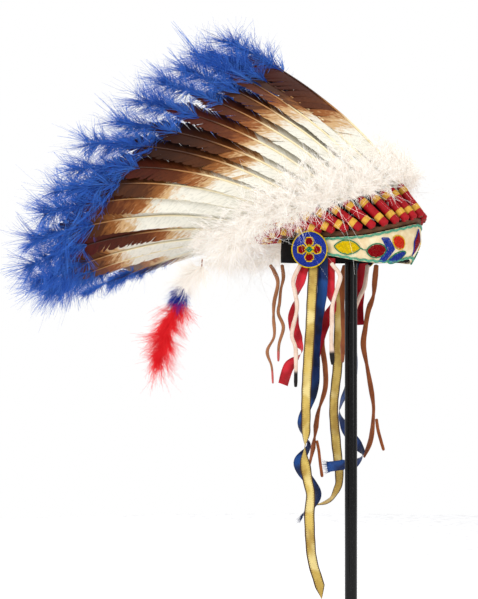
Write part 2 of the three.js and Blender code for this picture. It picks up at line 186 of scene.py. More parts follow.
class Parts:
    """Collects bits of mesh made of four-cornered faces, each with its look, and joins them."""

    def __init__(self):
        self.points, self.faces, self.looks, self.fields, self.count = [], [], [], {}, 0

    def add(self, points, quads, look=0, **values):
        points = np.asarray(points, float).reshape(-1, 3)
        quads = np.asarray(quads, int).reshape(-1, 4)
        self.points.append(points)
        self.faces.append(quads + self.count)
        self.looks.append(np.full(len(quads), look) if np.isscalar(look) else look)
        for name in set(values) | set(self.fields):
            rows = self.fields.setdefault(name, [np.zeros(self.count)])
            value = values.get(name, 0.0)
            rows.append(np.broadcast_to(np.asarray(value, float), (len(points),)).copy())
        self.count += len(points)

    def piece(self, name, looks, nodes=()):
        """The joined mesh as an object that rides on the root and stands for those CAD nodes."""
        points, faces = np.vstack(self.points), np.vstack(self.faces)
        mesh = bpy.data.meshes.new(name)
        mesh.vertices.add(len(points))
        mesh.vertices.foreach_set("co", points.astype(np.float32).ravel())
        mesh.loops.add(faces.size)
        mesh.loops.foreach_set("vertex_index", faces.astype(np.int32).ravel())
        mesh.polygons.add(len(faces))
        mesh.polygons.foreach_set("loop_start", np.arange(0, faces.size, 4, dtype=np.int32))
        mesh.polygons.foreach_set("material_index", np.concatenate(self.looks).astype(np.int32))
        mesh.polygons.foreach_set("use_smooth", np.full(len(faces), True))
        for field, rows in self.fields.items():
            made = mesh.attributes.new(field, "FLOAT", "POINT")
            made.data.foreach_set("value", np.concatenate(rows).astype(np.float32))
        mesh.update(calc_edges=True)
        for look in looks:
            mesh.materials.append(look)
        made = bpy.data.objects.new(name, mesh)
        scene.collection.objects.link(made)
        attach(made, "root")
        if nodes:
            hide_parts(*nodes)
        return made


def grid_quads(rows, columns, closed=False, looped=False):
    """Faces over a grid of points. A closed one joins its last column to its first."""
    across = columns if closed else columns - 1
    down = rows if looped else rows - 1
    i, j = np.meshgrid(np.arange(down), np.arange(across), indexing="ij")
    k, m = (j + 1) % columns, (i + 1) % rows
    return np.stack([i * columns + j, i * columns + k, m * columns + k, m * columns + j], -1).reshape(-1, 4)


def interp(at, known, vectors):
    """Vectors between known ones, one axis at a time."""
    return np.stack([np.interp(at, known, vectors[:, k]) for k in range(vectors.shape[1])], -1)


CURVE_STEPS = 10


def smooth_path(points, step, extra=None):
    """Points each step along a smooth curve through the given ones, and how far along they are."""
    points = np.asarray(points, float)
    ends = np.vstack([2 * points[0] - points[1], points, 2 * points[-1] - points[-2]])
    share = np.linspace(0, 1, CURVE_STEPS, endpoint=False)[:, None]
    fine = [between(*ends[i : i + 4], share) for i in range(len(points) - 1)]
    fine = np.vstack([*fine, points[-1:]])
    run = np.concatenate([[0], np.cumsum(np.linalg.norm(np.diff(fine, axis=0), axis=1))])
    at = np.linspace(0, run[-1], max(3, round(run[-1] / step) + 1))
    path = interp(at, run, fine)
    if extra is None:
        return path, at
    return path, at, interp(at, run[::CURVE_STEPS], np.asarray(extra, float))


def tangents(path):
    return unit(np.gradient(path, axis=0))


def rings_of(name, corners, toward):
    """A lofted CAD solid's rings of points, from the end that lies furthest along toward."""
    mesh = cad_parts[name].data
    points = np.array([v.co for v in mesh.vertices], float)
    _, first, owner = np.unique(np.round(points * 1e5), axis=0, return_index=True, return_inverse=True)
    owner = owner.ravel()
    spots = points[first]
    joined = [set() for _ in spots]
    for edge in mesh.edges:
        a, b = (int(owner[v]) for v in edge.vertices)
        joined[a].add(b)
        joined[b].add(a)
    layer = {int(k) for k in np.argsort(-(spots @ np.asarray(toward, float)))[:corners]}
    seen, rings = set(layer), []
    while layer:
        rings.append(spots[sorted(layer)])
        layer = {n for k in layer for n in joined[k]} - seen
        seen |= layer
    return rings


def tube(parts, path, radius, look=0, sides=8, flat=1.0, turn=None, facing=None, **values):
    """A round or flattened tube along a path, closed at both ends. radius may vary along it."""
    along = tangents(path)
    rows = len(path)
    radius = np.broadcast_to(np.asarray(radius, float), (rows,))
    start = np.array([0.0, 1.0, 0.0]) if facing is None else np.asarray(facing, float)
    side = np.zeros_like(path)
    current = start
    for i in range(rows):
        current = current - along[i] * (current @ along[i])
        current = current / max(np.linalg.norm(current), 1e-9)
        side[i] = current
    other = np.cross(along, side)
    if turn is not None:
        c, s = np.cos(turn)[:, None], np.sin(turn)[:, None]
        side, other = side * c + other * s, other * c - side * s
    spin = np.linspace(0, 2 * math.pi, sides, endpoint=False)
    ring = (
        np.cos(spin)[None, :, None] * side[:, None] * flat + np.sin(spin)[None, :, None] * other[:, None]
    )
    body = path[:, None] + ring * radius[:, None, None]
    head = path[:1, None] - along[:1, None] * radius[0] * 0.35 + ring[:1] * radius[0] * 0.35
    tail = path[-1:, None] + along[-1:, None] * radius[-1] * 0.35 + ring[-1:] * radius[-1] * 0.35
    points = np.concatenate([head, body, tail])
    fields = {}
    for name, value in values.items():
        value = np.broadcast_to(np.asarray(value, float), (rows,))
        fields[name] = np.repeat(np.concatenate([value[:1], value, value[-1:]]), sides)
    quads = grid_quads(rows + 2, sides, closed=True)
    last = (rows + 1) * sides
    caps = [[k, k + 1, sides - 2 - k, sides - 1 - k] for k in range(sides // 2 - 1)]
    caps = np.array([[a, d, c, b] for a, b, c, d in caps] + [[a + last for a in q] for q in caps])
    parts.add(points, np.vstack([quads, caps]), look, **fields)


ROOM = 0.024 * (np.array(cad_box[1]) - np.array(cad_box[0])) + 8 * MM
LOWEST, HIGHEST = np.array(cad_box[0]) - ROOM, np.array(cad_box[1]) + ROOM


def hairs(parts, look, roots, heading, length, width, bend, rng, steps=4, wiggle=0.05, **values):
    """Thin flat hairs. Each leaves its root along heading and turns by bend over its length."""
    count = len(roots)
    length = np.broadcast_to(length, (count,))
    t = np.linspace(0, 1, steps + 1)
    tips = roots + (heading + bend) * length[:, None]
    far = np.where(tips > roots, HIGHEST - roots, roots - LOWEST) / np.maximum(np.abs(tips - roots), 1e-6)
    length = length * np.clip(far.min(1), 0.2, 1)
    reach = length[:, None, None] * t[None, :, None]
    path = roots[:, None] + heading[:, None] * reach + bend[:, None] * reach * t[None, :, None]
    tangent = unit(heading[:, None] + 2 * bend[:, None] * t[None, :, None])
    side = unit(np.cross(tangent, unit(rng.normal(size=(count, 1, 3)))))
    phase = rng.uniform(0, 2 * math.pi, (count, 1, 1))
    sway = np.sin(phase + 5.0 * t[None, :, None]) * t[None, :, None]
    path = path + side * sway * length[:, None, None] * wiggle
    half = np.broadcast_to(width, (count,))[:, None, None] * (1 - 0.7 * t[None, :, None]) / 2
    points = np.stack([path - side * half, path + side * half], 2)
    cell = grid_quads(steps + 1, 2)
    quads = cell[None] + (np.arange(count) * (steps + 1) * 2)[:, None, None]
    fields = {"tip": np.broadcast_to(t[None, :, None], (count, steps + 1, 2)).ravel()}
    for name, value in values.items():
        value = np.broadcast_to(np.asarray(value, float), (count,))
        fields[name] = np.repeat(value, (steps + 1) * 2)
    parts.add(points, quads, look, **fields)


def turned(parts, profile, centre, axis, sides=48, look=0, **values):
    """A surface turned round an axis, from a profile of [distance along the axis, radius]."""
    axis = np.asarray(axis, float) / np.linalg.norm(axis)
    start = np.array([1.0, 0, 0]) if abs(axis[0]) < 0.9 else np.array([0, 1.0, 0])
    side = unit(start - axis * (start @ axis))
    other = np.cross(axis, side)
    spin = np.linspace(0, 2 * math.pi, sides, endpoint=False)
    ring = np.cos(spin)[:, None] * side + np.sin(spin)[:, None] * other
    profile = np.asarray(profile, float)
    points = centre + profile[:, None, :1] * axis + ring[None] * profile[:, None, 1:]
    parts.add(points, grid_quads(len(profile), sides, closed=True), look, **values)


# ---- Shader groups ----


def linear(red, green, blue):
    """A display colour, 0 to 255, as the shader's numbers."""
    rows = [c / 255 for c in (red, green, blue)]
    return (*[c / 12.92 if c <= 0.04045 else ((c + 0.055) / 1.055) ** 2.4 for c in rows], 1.0)


def feed(tree, made, inputs):
    """Links or sets a node's inputs. A socket is linked and anything else is a constant."""
    for key, value in inputs.items():
        if isinstance(value, bpy.types.NodeSocket):
            tree.links.new(value, made.inputs[key])
        else:
            made.inputs[key].default_value = value


def node(tree, kind, inputs=None, **settings):
    made = tree.nodes.new("ShaderNode" + kind)
    for key, value in settings.items():
        setattr(made, key, value)
    feed(tree, made, inputs or {})
    return made


def math_node(tree, operation, a, b=0.0, clamp=False):
    return node(tree, "Math", {0: a, 1: b}, operation=operation, use_clamp=clamp).outputs[0]


def times(tree, a, b, clamp=False):
    return math_node(tree, "MULTIPLY", a, b, clamp)


def plus(tree, a, b):
    return math_node(tree, "ADD", a, b)


def mix(tree, amount, a, b, mode="MIX"):
    made = node(tree, "Mix", data_type="RGBA", blend_type=mode, clamp_factor=True)
    feed(tree, made, {0: amount, 6: a, 7: b})
    return made.outputs[2]


def ramp(tree, value, stops):
    """Colours or greys along a value, from a list of [place, colour]."""
    made = node(tree, "ValToRGB", {"Fac": value})
    made.color_ramp.interpolation = "EASE"
    elements = made.color_ramp.elements
    while len(elements) < len(stops):
        elements.new(0.5)
    for element, (place, colour) in zip(elements, stops):
        element.position = place
        element.color = colour if isinstance(colour, tuple) else (colour, colour, colour, 1)
    return made.outputs["Color"]


def shader_group(name, inputs, outputs, build):
    """A node group with named sockets. build gets its tree and inputs, and returns its outputs."""
    tree = bpy.data.node_groups.new(name, "ShaderNodeTree")
    for label, kind, default in inputs:
        socket = tree.interface.new_socket(label, in_out="INPUT", socket_type="NodeSocket" + kind)
        socket.default_value = default
    for label, kind in outputs:
        tree.interface.new_socket(label, in_out="OUTPUT", socket_type="NodeSocket" + kind)
    source, sink = tree.nodes.new("NodeGroupInput"), tree.nodes.new("NodeGroupOutput")
    for label, socket in build(tree, source.outputs).items():
        tree.links.new(socket, sink.inputs[label])
    return tree


def noise(tree, scale, detail=3.0, vector=None, roughness=0.55):
    if vector is None:
        vector = node(tree, "TexCoord").outputs["Object"]
    made = node(
        tree, "TexNoise", {"Vector": vector, "Scale": scale, "Detail": detail, "Roughness": roughness},
    )
    return made.outputs["Fac"]


def build_mottle(tree, given):
    """Soft patches of a second colour."""
    patches = noise(tree, given["Scale"], 4.0)
    spread = ramp(tree, patches, [(0.36, 0.0), (0.66, 1.0)])
    amount = times(tree, spread, given["Amount"], clamp=True)
    return {"Color": mix(tree, amount, given["Color"], given["Patch"])}


def build_grain(tree, given):
    """Fine pits and fibres, as in leather, felt and suede."""
    coarse = noise(tree, given["Scale"], 2.0)
    fine = noise(tree, times(tree, given["Scale"], 3.7), 5.0, roughness=0.7)
    height = plus(tree, times(tree, coarse, 0.6), times(tree, fine, 0.5))
    shade = ramp(tree, height, [(0.30, 0.55), (0.72, 1.0)])
    return {"Height": height, "Shade": shade}


def build_thread(tree, given):
    """Fine crossing threads, from two running measures in metres."""
    turns = times(tree, given["Threads"], 2 * math.pi)
    one = math_node(tree, "SINE", times(tree, given["Across"], turns))
    two = math_node(tree, "SINE", times(tree, given["Along"], turns))
    height = math_node(tree, "MULTIPLY_ADD", times(tree, one, two), 0.5)
    height.node.inputs[2].default_value = 0.5
    return {"Height": height}


def build_barbs(tree, given):
    """Streaks and ridges that run along a feather's barbs."""
    at = node(tree, "CombineXYZ", {"X": given["Barb"], "Y": given["Reach"], "Z": given["Seed"]}).outputs[0]
    wide = node(tree, "VectorMath", {0: at, 1: (2.6, 1.3, 40.0)}, operation="MULTIPLY").outputs[0]
    fine = node(tree, "VectorMath", {0: at, 1: (5.0, 1.2, 40.0)}, operation="MULTIPLY").outputs[0]
    bands = noise(tree, 120.0, 2.0, wide)
    lines = noise(tree, 200.0, 3.0, fine, 0.7)
    streak = plus(tree, times(tree, bands, 0.78), times(tree, lines, 0.22))
    ridge = math_node(tree, "SINE", times(tree, given["Barb"], 2 * math.pi / (0.9 * MM)))
    height = plus(tree, times(tree, ridge, 0.25), lines)
    return {"Streak": streak, "Height": height}


MOTTLE = shader_group(
    "patches",
    [
        ("Color", "Color", (0.5, 0.5, 0.5, 1)), ("Patch", "Color", (0.3, 0.3, 0.3, 1)),
        ("Scale", "Float", 40.0), ("Amount", "Float", 0.5),
    ],
    [("Color", "Color")],
    build_mottle,
)
GRAIN = shader_group(
    "grain", [("Scale", "Float", 400.0)], [("Height", "Float"), ("Shade", "Float")], build_grain,
)
THREAD = shader_group(
    "thread",
    [("Across", "Float", 0.0), ("Along", "Float", 0.0), ("Threads", "Float", 2500.0)],
    [("Height", "Float")],
    build_thread,
)
BARBS = shader_group(
    "barbs",
    [("Barb", "Float", 0.0), ("Reach", "Float", 0.0), ("Seed", "Float", 0.0)],
    [("Streak", "Float"), ("Height", "Float")],
    build_barbs,
)


def use(tree, group, **inputs):
    made = tree.nodes.new("ShaderNodeGroup")
    made.node_tree = group
    feed(tree, made, inputs)
    return made.outputs


def field(tree, name):
    return node(tree, "Attribute", attribute_name=name).outputs["Fac"]


def finish_look(name, tree_of, roughness=0.6, bump_depth=0.0002, glow=0.0, gloss=0.25, **fixed):
    """A material. tree_of gets its tree and returns the colour, and perhaps a height and a roughness."""
    made = bpy.data.materials.new(name)
    made.use_nodes = True
    tree = made.node_tree
    shader = tree.nodes["Principled BSDF"]
    found = tree_of(tree)
    tree.links.new(found["Color"], shader.inputs["Base Color"])
    shader.inputs["Specular IOR Level"].default_value = gloss
    if glow:
        tree.links.new(found["Color"], shader.inputs["Emission Color"])
        shader.inputs["Emission Strength"].default_value = glow
    if "Roughness" in found:
        tree.links.new(found["Roughness"], shader.inputs["Roughness"])
    else:
        shader.inputs["Roughness"].default_value = roughness
    if "Height" in found:
        lift = node(tree, "Bump", {"Height": found["Height"], "Strength": 1.0, "Distance": bump_depth})
        tree.links.new(lift.outputs["Normal"], shader.inputs["Normal"])
    for key, value in fixed.items():
        shader.inputs[key.replace("_", " ")].default_value = value
    return made


# ---- Looks ----

CREAM = linear(238, 236, 224)
PALE_TAN = linear(206, 168, 120)
TAN = linear(146, 90, 44)
BROWN = linear(82, 43, 18)
DARK_BROWN = linear(46, 20, 12)


def vane_colour(tree):
    tone, barb, reach = field(tree, "tone"), field(tree, "barb"), field(tree, "reach")
    hue = field(tree, "hue")
    streaks = use(tree, BARBS, Barb=barb, Reach=reach, Seed=hue)
    push = times(tree, math_node(tree, "SUBTRACT", streaks["Streak"], 0.5), 0.20)
    place = plus(tree, tone, push)
    body = ramp(
        tree,
        place,
        [
            (0.0, CREAM), (0.48, linear(239, 235, 221)), (0.545, PALE_TAN), (0.60, TAN), (0.68, BROWN),
            (0.86, linear(50, 25, 12)), (1.0, DARK_BROWN),
        ],
    )
    ruddy = ramp(
        tree,
        place,
        [
            (0.0, CREAM), (0.48, linear(239, 235, 221)), (0.545, PALE_TAN), (0.60, linear(148, 84, 44)),
            (0.68, linear(96, 44, 22)), (0.86, linear(84, 30, 18)), (1.0, linear(88, 18, 16)),
        ],
    )
    both = mix(tree, hue, body, ruddy)
    dark = times(
        tree,
        ramp(tree, streaks["Streak"], [(0.34, 1.0), (0.50, 0.0)]),
        ramp(tree, tone, [(0.58, 0.0), (0.74, 0.5)]),
        clamp=True,
    )
    both = mix(tree, dark, both, linear(30, 12, 8))
    # Where the vane is cream, its fainter streaks are greyed a little: painted shade for the grey-green
    # shading of a pale, thin vane.
    grey_shade = ramp(tree, streaks["Streak"], [(0.40, 1.0), (0.50, 0.0)])
    pale = times(tree, grey_shade, ramp(tree, tone, [(0.45, 0.26), (0.6, 0.0)]), clamp=True)
    both = mix(tree, pale, both, linear(176, 174, 160))
    return {
        "Color": both,
        "Height": streaks["Height"],
        "Roughness": ramp(tree, tone, [(0.5, 0.66), (0.7, 0.5)]),
    }


def shaft_colour(tree):
    tone = field(tree, "tone")
    return {
        "Color": ramp(
            tree,
            tone,
            [
                (0.0, linear(252, 246, 220)), (0.52, linear(244, 226, 180)), (0.64, linear(176, 122, 70)),
                (0.8, linear(64, 34, 18)),
            ],
        )
    }


def hair_colour(dark, light, patch, amount):
    def build(tree):
        # Each hair runs from its dark colour at the root to its light colour at the tip: painted shade deep
        # in the tuft and painted light on its outside. The patch colour, given to whole tufts, paints some
        # tufts lit and others shaded, partly also as tone that differs from tuft to tuft.
        tip, seed = field(tree, "tip"), field(tree, "seed")
        along = mix(tree, tip, dark, light)
        share = times(tree, seed, amount, clamp=True)
        return {"Color": mix(tree, share, along, patch)}

    return build


def cloth_colour(colour, patch, scale=90.0, threads=1400.0, amount=0.5):
    def build(tree):
        base = use(tree, MOTTLE, Color=colour, Patch=patch, Scale=scale, Amount=amount)["Color"]
        along, across = field(tree, "along"), field(tree, "across")
        return {
            "Color": base,
            "Height": use(tree, THREAD, Across=across, Along=along, Threads=threads)["Height"],
        }

    return build


def grain_colour(colour, patch, scale, patch_scale=60.0, amount=0.6):
    def build(tree):
        base = use(tree, MOTTLE, Color=colour, Patch=patch, Scale=patch_scale, Amount=amount)["Color"]
        grain = use(tree, GRAIN, Scale=scale)
        return {"Color": mix(tree, 0.5, base, grain["Shade"], "MULTIPLY"), "Height": grain["Height"]}

    return build


def bead_colour(colour):
    def build(tree):
        seed = field(tree, "seed")
        darker = tuple(c * 0.55 for c in colour[:3]) + (1.0,)
        return {"Color": mix(tree, times(tree, seed, 0.7), colour, darker)}

    return build


def ribbon_colour(colour, patch, edge, painted_highlight, stitched):
    """Satin ribbon with a selvedge, and on some a row of stitches inside each edge. Its lighter patches are
    painted highlights and its darker patches painted shade among its folds.
    """

    def build(tree):
        along, across = field(tree, "along"), field(tree, "across")
        base = use(tree, MOTTLE, Color=colour, Patch=patch, Scale=38.0, Amount=0.8)["Color"]
        # Soft noise paints lighter patches as the satin's highlights, over the darker mottle patches that
        # paint its shade.
        highlight_patches = ramp(tree, noise(tree, 30.0, 1.0), [(0.5, 0.0), (0.66, 0.75)])
        base = mix(tree, highlight_patches, base, painted_highlight)
        out = math_node(tree, "ABSOLUTE", across)
        rim = ramp(tree, out, [(0.72, 0.0), (0.80, 1.0)])
        base = mix(tree, times(tree, rim, 1.0 if stitched else 0.3), base, edge)
        if stitched:
            row = ramp(tree, out, [(0.52, 0.0), (0.60, 1.0), (0.66, 1.0), (0.74, 0.0)])
            beat = math_node(tree, "SINE", times(tree, along, 2 * math.pi / (3.2 * MM)))
            dash = ramp(tree, math_node(tree, "MULTIPLY_ADD", beat, 0.5), [(0.35, 0.0), (0.55, 1.0)])
            stitches = times(tree, row, dash, clamp=True)
            base = mix(tree, times(tree, stitches, 0.55), base, edge)
        metres = times(tree, across, 7.7 * MM)
        return {
            "Color": base,
            "Height": use(tree, THREAD, Across=metres, Along=along, Threads=1700.0)["Height"],
        }

    return build


def tipped_colour(colour, patch, tip, start, scale):
    """Leather whose last stretch is dyed. start is where the dye begins, as a share of the length."""

    def build(tree):
        base = use(tree, MOTTLE, Color=colour, Patch=patch, Scale=70.0, Amount=0.6)["Color"]
        grain = use(tree, GRAIN, Scale=scale)
        dyed = ramp(tree, field(tree, "run"), [(start - 0.02, 0.0), (start + 0.02, 1.0)])
        base = mix(tree, dyed, base, tip)
        return {"Color": mix(tree, 0.35, base, grain["Shade"], "MULTIPLY"), "Height": grain["Height"]}

    return build


def paint_colour(tree):
    specks = noise(tree, 900.0, 2.0)
    flecks = ramp(tree, specks, [(0.60, 0.0), (0.72, 1.0)])
    base = mix(tree, times(tree, flecks, 0.5), linear(9, 9, 10), linear(80, 80, 82))
    return {"Color": base, "Height": specks, "Roughness": ramp(tree, specks, [(0.35, 0.18), (0.7, 0.10)])}


VANE = finish_look("feather_vane", vane_colour, bump_depth=0.00012, gloss=0.12)
SHAFT = finish_look("feather_shaft", shaft_colour, roughness=0.35)
# The blue down glows a little: painted light that fills the shade among its hairs.
BLUE_DOWN = finish_look(
    "blue_down",
    hair_colour(linear(6, 30, 118), linear(34, 88, 192), linear(92, 148, 226), 0.55),
    roughness=0.7,
    glow=0.08,
    gloss=0.15,
)
# The white down glows: painted light that fills the shade among its hairs.
WHITE_DOWN = finish_look(
    "white_down",
    hair_colour(linear(244, 240, 233), linear(255, 254, 251), linear(238, 229, 220), 0.8),
    roughness=0.8,
    glow=0.13,
    gloss=0.05,
)
WRAP_RED = finish_look(
    "wrap_red_cloth",
    cloth_colour(linear(172, 8, 24), linear(126, 2, 12), 160.0, 1300.0),
    roughness=0.62,
    bump_depth=0.00015,
)
WRAP_GOLD = finish_look(
    "wrap_gold_thread",
    cloth_colour(linear(226, 176, 66), linear(190, 132, 36), 260.0, 900.0),
    roughness=0.5,
    bump_depth=0.0002,
)
LEATHER = finish_look(
    "brown_leather",
    grain_colour(linear(112, 74, 48), linear(74, 46, 30), 700.0),
    roughness=0.7,
    bump_depth=0.0002,
)
FELT = finish_look(
    "black_felt",
    grain_colour(linear(20, 19, 20), linear(9, 9, 10), 900.0),
    roughness=0.95,
    bump_depth=0.0003,
    gloss=0.1,
)
BAND = finish_look(
    "band_cloth",
    cloth_colour(linear(248, 234, 196), linear(226, 196, 146), 55.0, 620.0, 0.75),
    roughness=0.6,
    bump_depth=0.00025,
)
BACKING = finish_look(
    "dark_backing",
    cloth_colour(linear(30, 34, 70), linear(16, 18, 44), 120.0, 700.0),
    roughness=0.9,
    gloss=0.05,
)
BEADS = {
    name: finish_look("beads_" + name, bead_colour(linear(*rgb)), roughness=0.3, gloss=0.07)
    for name, rgb in {
        "yellow": (238, 204, 10),
        "blue": (40, 62, 166),
        "red": (150, 4, 18),
        "green": (40, 138, 98),
        "seafoam": (104, 184, 152),
        "orange": (226, 52, 26),
        "gold": (230, 190, 40),
    }.items()
}
# Each ribbon's colour, its darker patches of painted shade, its edge and its painted highlight.
RIBBON_TONES = {
    "gold": [(212, 182, 94), (160, 124, 48), (64, 38, 16), (240, 220, 150)],
    "blue": [(10, 42, 98), (3, 16, 46), (4, 14, 40), (28, 78, 150)],
    "red": [(190, 8, 26), (122, 2, 14), (110, 2, 10), (226, 44, 62)],
}
RIBBON_LOOKS = {
    tone: finish_look(
        tone + "_ribbon",
        ribbon_colour(*[linear(*rgb) for rgb in tones], stitched=tone == "gold"),
        roughness=0.4 if tone == "gold" else 0.38,
        bump_depth=0.00006,
    )
    for tone, tones in RIBBON_TONES.items()
}
WHITE_LEATHER = finish_look(
    "white_leather",
    tipped_colour(linear(240, 216, 198), linear(222, 186, 164), linear(26, 22, 22), 0.88, 500.0),
    roughness=0.75,
    bump_depth=0.0003,
)
SUEDE = finish_look(
    "brown_suede",
    tipped_colour(linear(160, 88, 46), linear(126, 62, 30), linear(150, 80, 42), 1.2, 800.0),
    roughness=0.9,
    bump_depth=0.0003,
    Sheen_Weight=0.2,
)
PINK_SUEDE = finish_look(
    "tipped_suede",
    tipped_colour(linear(172, 116, 78), linear(136, 84, 52), linear(206, 96, 92), 0.90, 800.0),
    roughness=0.9,
    bump_depth=0.0003,
    Sheen_Weight=0.2,
)
# The red down glows: painted light that fills the shade among its hairs.
RED_DOWN = finish_look(
    "red_down",
    hair_colour(linear(190, 8, 22), linear(248, 58, 62), linear(214, 20, 34), 0.6),
    roughness=0.7,
    glow=0.16,
    gloss=0.05,
)
# The navy down glows a little: painted light that fills the shade among its hairs.
NAVY_DOWN = finish_look(
    "navy_down",
    hair_colour(linear(14, 26, 120), linear(44, 66, 186), linear(10, 18, 90), 0.5),
    roughness=0.7,
    glow=0.08,
    gloss=0.05,
)
PAINT = finish_look("black_paint", paint_colour, bump_depth=0.00005, gloss=0.22)

# ---- Cords ----

HANG_AHEAD = -23 * MM
HANG_OUT = 90 * MM


def hang(side, stops):
    """Points from [ahead, below, out] in millimetres, behind the rosette of one side."""
    stops = np.asarray(stops, float)[:, :3] * MM
    return np.stack([HANG_AHEAD + stops[:, 0], side * (HANG_OUT + stops[:, 2]), RIM - stops[:, 1]], -1)


LUMP_STEP = 6


def hanging_cord(
    name, points, radius, look, flat=1.0, facing=None, turns=0.0, ragged=0.06
):
    """A thong or drop that hangs from its first point, rolled round or left as a flat strip.

    flat is its thickness as a share of its width, and ragged is how much the width wanders.
    """
    path, at = smooth_path(points, 2.5 * MM)
    rng = np.random.default_rng(len(path))
    parts = Parts()
    run = at / at[-1]
    knots = np.arange(0, len(path) + LUMP_STEP, LUMP_STEP)
    lumps = rng.normal(size=len(path) // LUMP_STEP + 2)[: len(knots)]
    size = radius * (1 + ragged * np.interp(np.arange(len(path)), knots, lumps))
    size = size * np.interp(run, [0, 0.96, 1], [1, 1, 0.75])
    turn = turns * run * 2 * math.pi
    tube(parts, path, size, sides=10, flat=flat, turn=turn, facing=facing, run=run, along=at)
    made = parts.piece("hung_" + name, [look], [name])


RIGHT, LEFT = -1, 1
DROP_RADIUS = 3 * MM
STRAP_HALF = 4.1 * MM
TAIL_RADIUS = 2.4 * MM
BACK_RADIUS = 2.9 * MM
BACK_X, BACK_Y = -99 * MM, -47 * MM

# Each stop of a cord is how far ahead, below and outside its side's hanging place, in millimetres.
WHITE_DROPS = {
    "white_drop_back_right": (
        RIGHT,
        [
            [-16, 3, 4], [-25, 26, 9], [-22, 44, 10], [-19, 67, 10], [-27, 103, 10], [-21, 125, 10],
            [-21, 177, 10],
        ],
    ),
    "white_drop_front_right": (
        RIGHT,
        [[31, 3, 3], [44, 19, 4], [42, 32, 4], [33, 61, 4], [32, 86, 4], [31, 110, 4], [33, 145, 4]],
    ),
    "white_drop_left": (
        LEFT, [[16, 3, -6], [16, 17, -11], [14, 35, -14], [9, 50, -20], [2, 71, -22], [-2, 100, -22]],
    ),
}
THONGS = {
    "thong_side_right": (
        RIGHT,
        [
            [13, 8, -10], [4, 40, -30], [-1, 76, -40], [0, 120, -38], [5, 151, -36], [5, 181, -36],
            [-6, 216, -36], [-11, 249, -36], [-15, 272, -36], [-21, 297, -36],
        ],
    ),
    "thong_side_left": (
        LEFT,
        [
            [29, 3, -4], [25, 26, 0], [22, 48, 2], [14, 70, 2], [9, 97, 2], [6, 122, 2], [12, 154, 2],
            [21, 203, 2], [22, 226, 2], [18, 262, 2], [7, 289, 2],
        ],
    ),
    "thong_back_left": (LEFT, [[-22, 3, -4], [-25, 30, -5], [-24, 64, -7], [-23, 105, -7], [-24, 147, -7]]),
}
THONG_TAILS = {
    "thong_tail_side_right": (RIGHT, [[-6, 256, -31.5], [-3, 270, -31.5], [-1, 288, -32], [2, 307, -32]]),
    "thong_tail_side_left": (LEFT, [[27, 232, 2], [29, 246, 2], [33, 262, 3], [38, 278, 3]]),
}
BACK_THONGS = {
    "back_thong_long": [
        [-8, 4, 0], [-2, 13, 0], [4, 30, 0], [-2, 58, 0], [-3, 80, 0], [-2, 107, 0], [-13, 129, 0],
        [-6, 151, 0], [-4, 175, 0],
    ],
    "back_thong_short": [
        [8, 4, -6], [10, 22, -6], [6, 39, -6], [4, 58, -6], [2, 74, -6], [10, 94, -6], [3, 119, -6],
        [2, 143, -6],
    ],
}


def cords():
    for name, (side, stops) in WHITE_DROPS.items():
        hanging_cord(
            name, hang(side, stops), DROP_RADIUS, WHITE_LEATHER, ragged=0.08,
        )
    for name, (side, stops) in THONGS.items():
        hanging_cord(
            name, hang(side, stops), STRAP_HALF, SUEDE, flat=0.24, facing=VIEW_BACK,
            turns=0.16, ragged=0.2,
        )
    for name, (side, stops) in THONG_TAILS.items():
        hanging_cord(name, hang(side, stops), TAIL_RADIUS, SUEDE, flat=0.5, facing=VIEW_BACK)
    for name, stops in BACK_THONGS.items():
        stops = np.asarray(stops, float) * MM
        points = np.stack([BACK_X + stops[:, 0], BACK_Y - stops[:, 2], RIM - stops[:, 1]], -1)
        hanging_cord(
            name, points, BACK_RADIUS, PINK_SUEDE, flat=0.7, facing=VIEW_BACK, turns=0.2,
            ragged=0.14,
        )


cords()

# ---- Ribbons ----

RIBBON_WIDTH = 15.5 * MM
RIBBON_COLUMNS = 9
POINT_LENGTH = 17 * MM
FRAY_COUNT = 70


def fray(name, look, edge, way):
    """Loose threads at a ribbon's cut edge, which run on along its way."""
    rng = np.random.default_rng(5)
    threads = Parts()
    roots = edge[rng.integers(0, RIBBON_COLUMNS, FRAY_COUNT)]
    roots = roots + rng.normal(size=(FRAY_COUNT, 3)) * 0.5 * MM
    heading = unit(way + rng.normal(size=(FRAY_COUNT, 3)) * 0.16)
    length = rng.uniform(5, 13, FRAY_COUNT) * MM
    bend = rng.normal(size=(FRAY_COUNT, 3)) * 0.12
    hairs(threads, 0, roots, heading, length, 0.45 * MM, bend, rng, across=0.0, along=0.0)
    return threads.piece("hung_" + name + "_fray", [look])


RIBBON_ENDS = {"gold": "pointed", "blue": "frayed", "red": "square"}


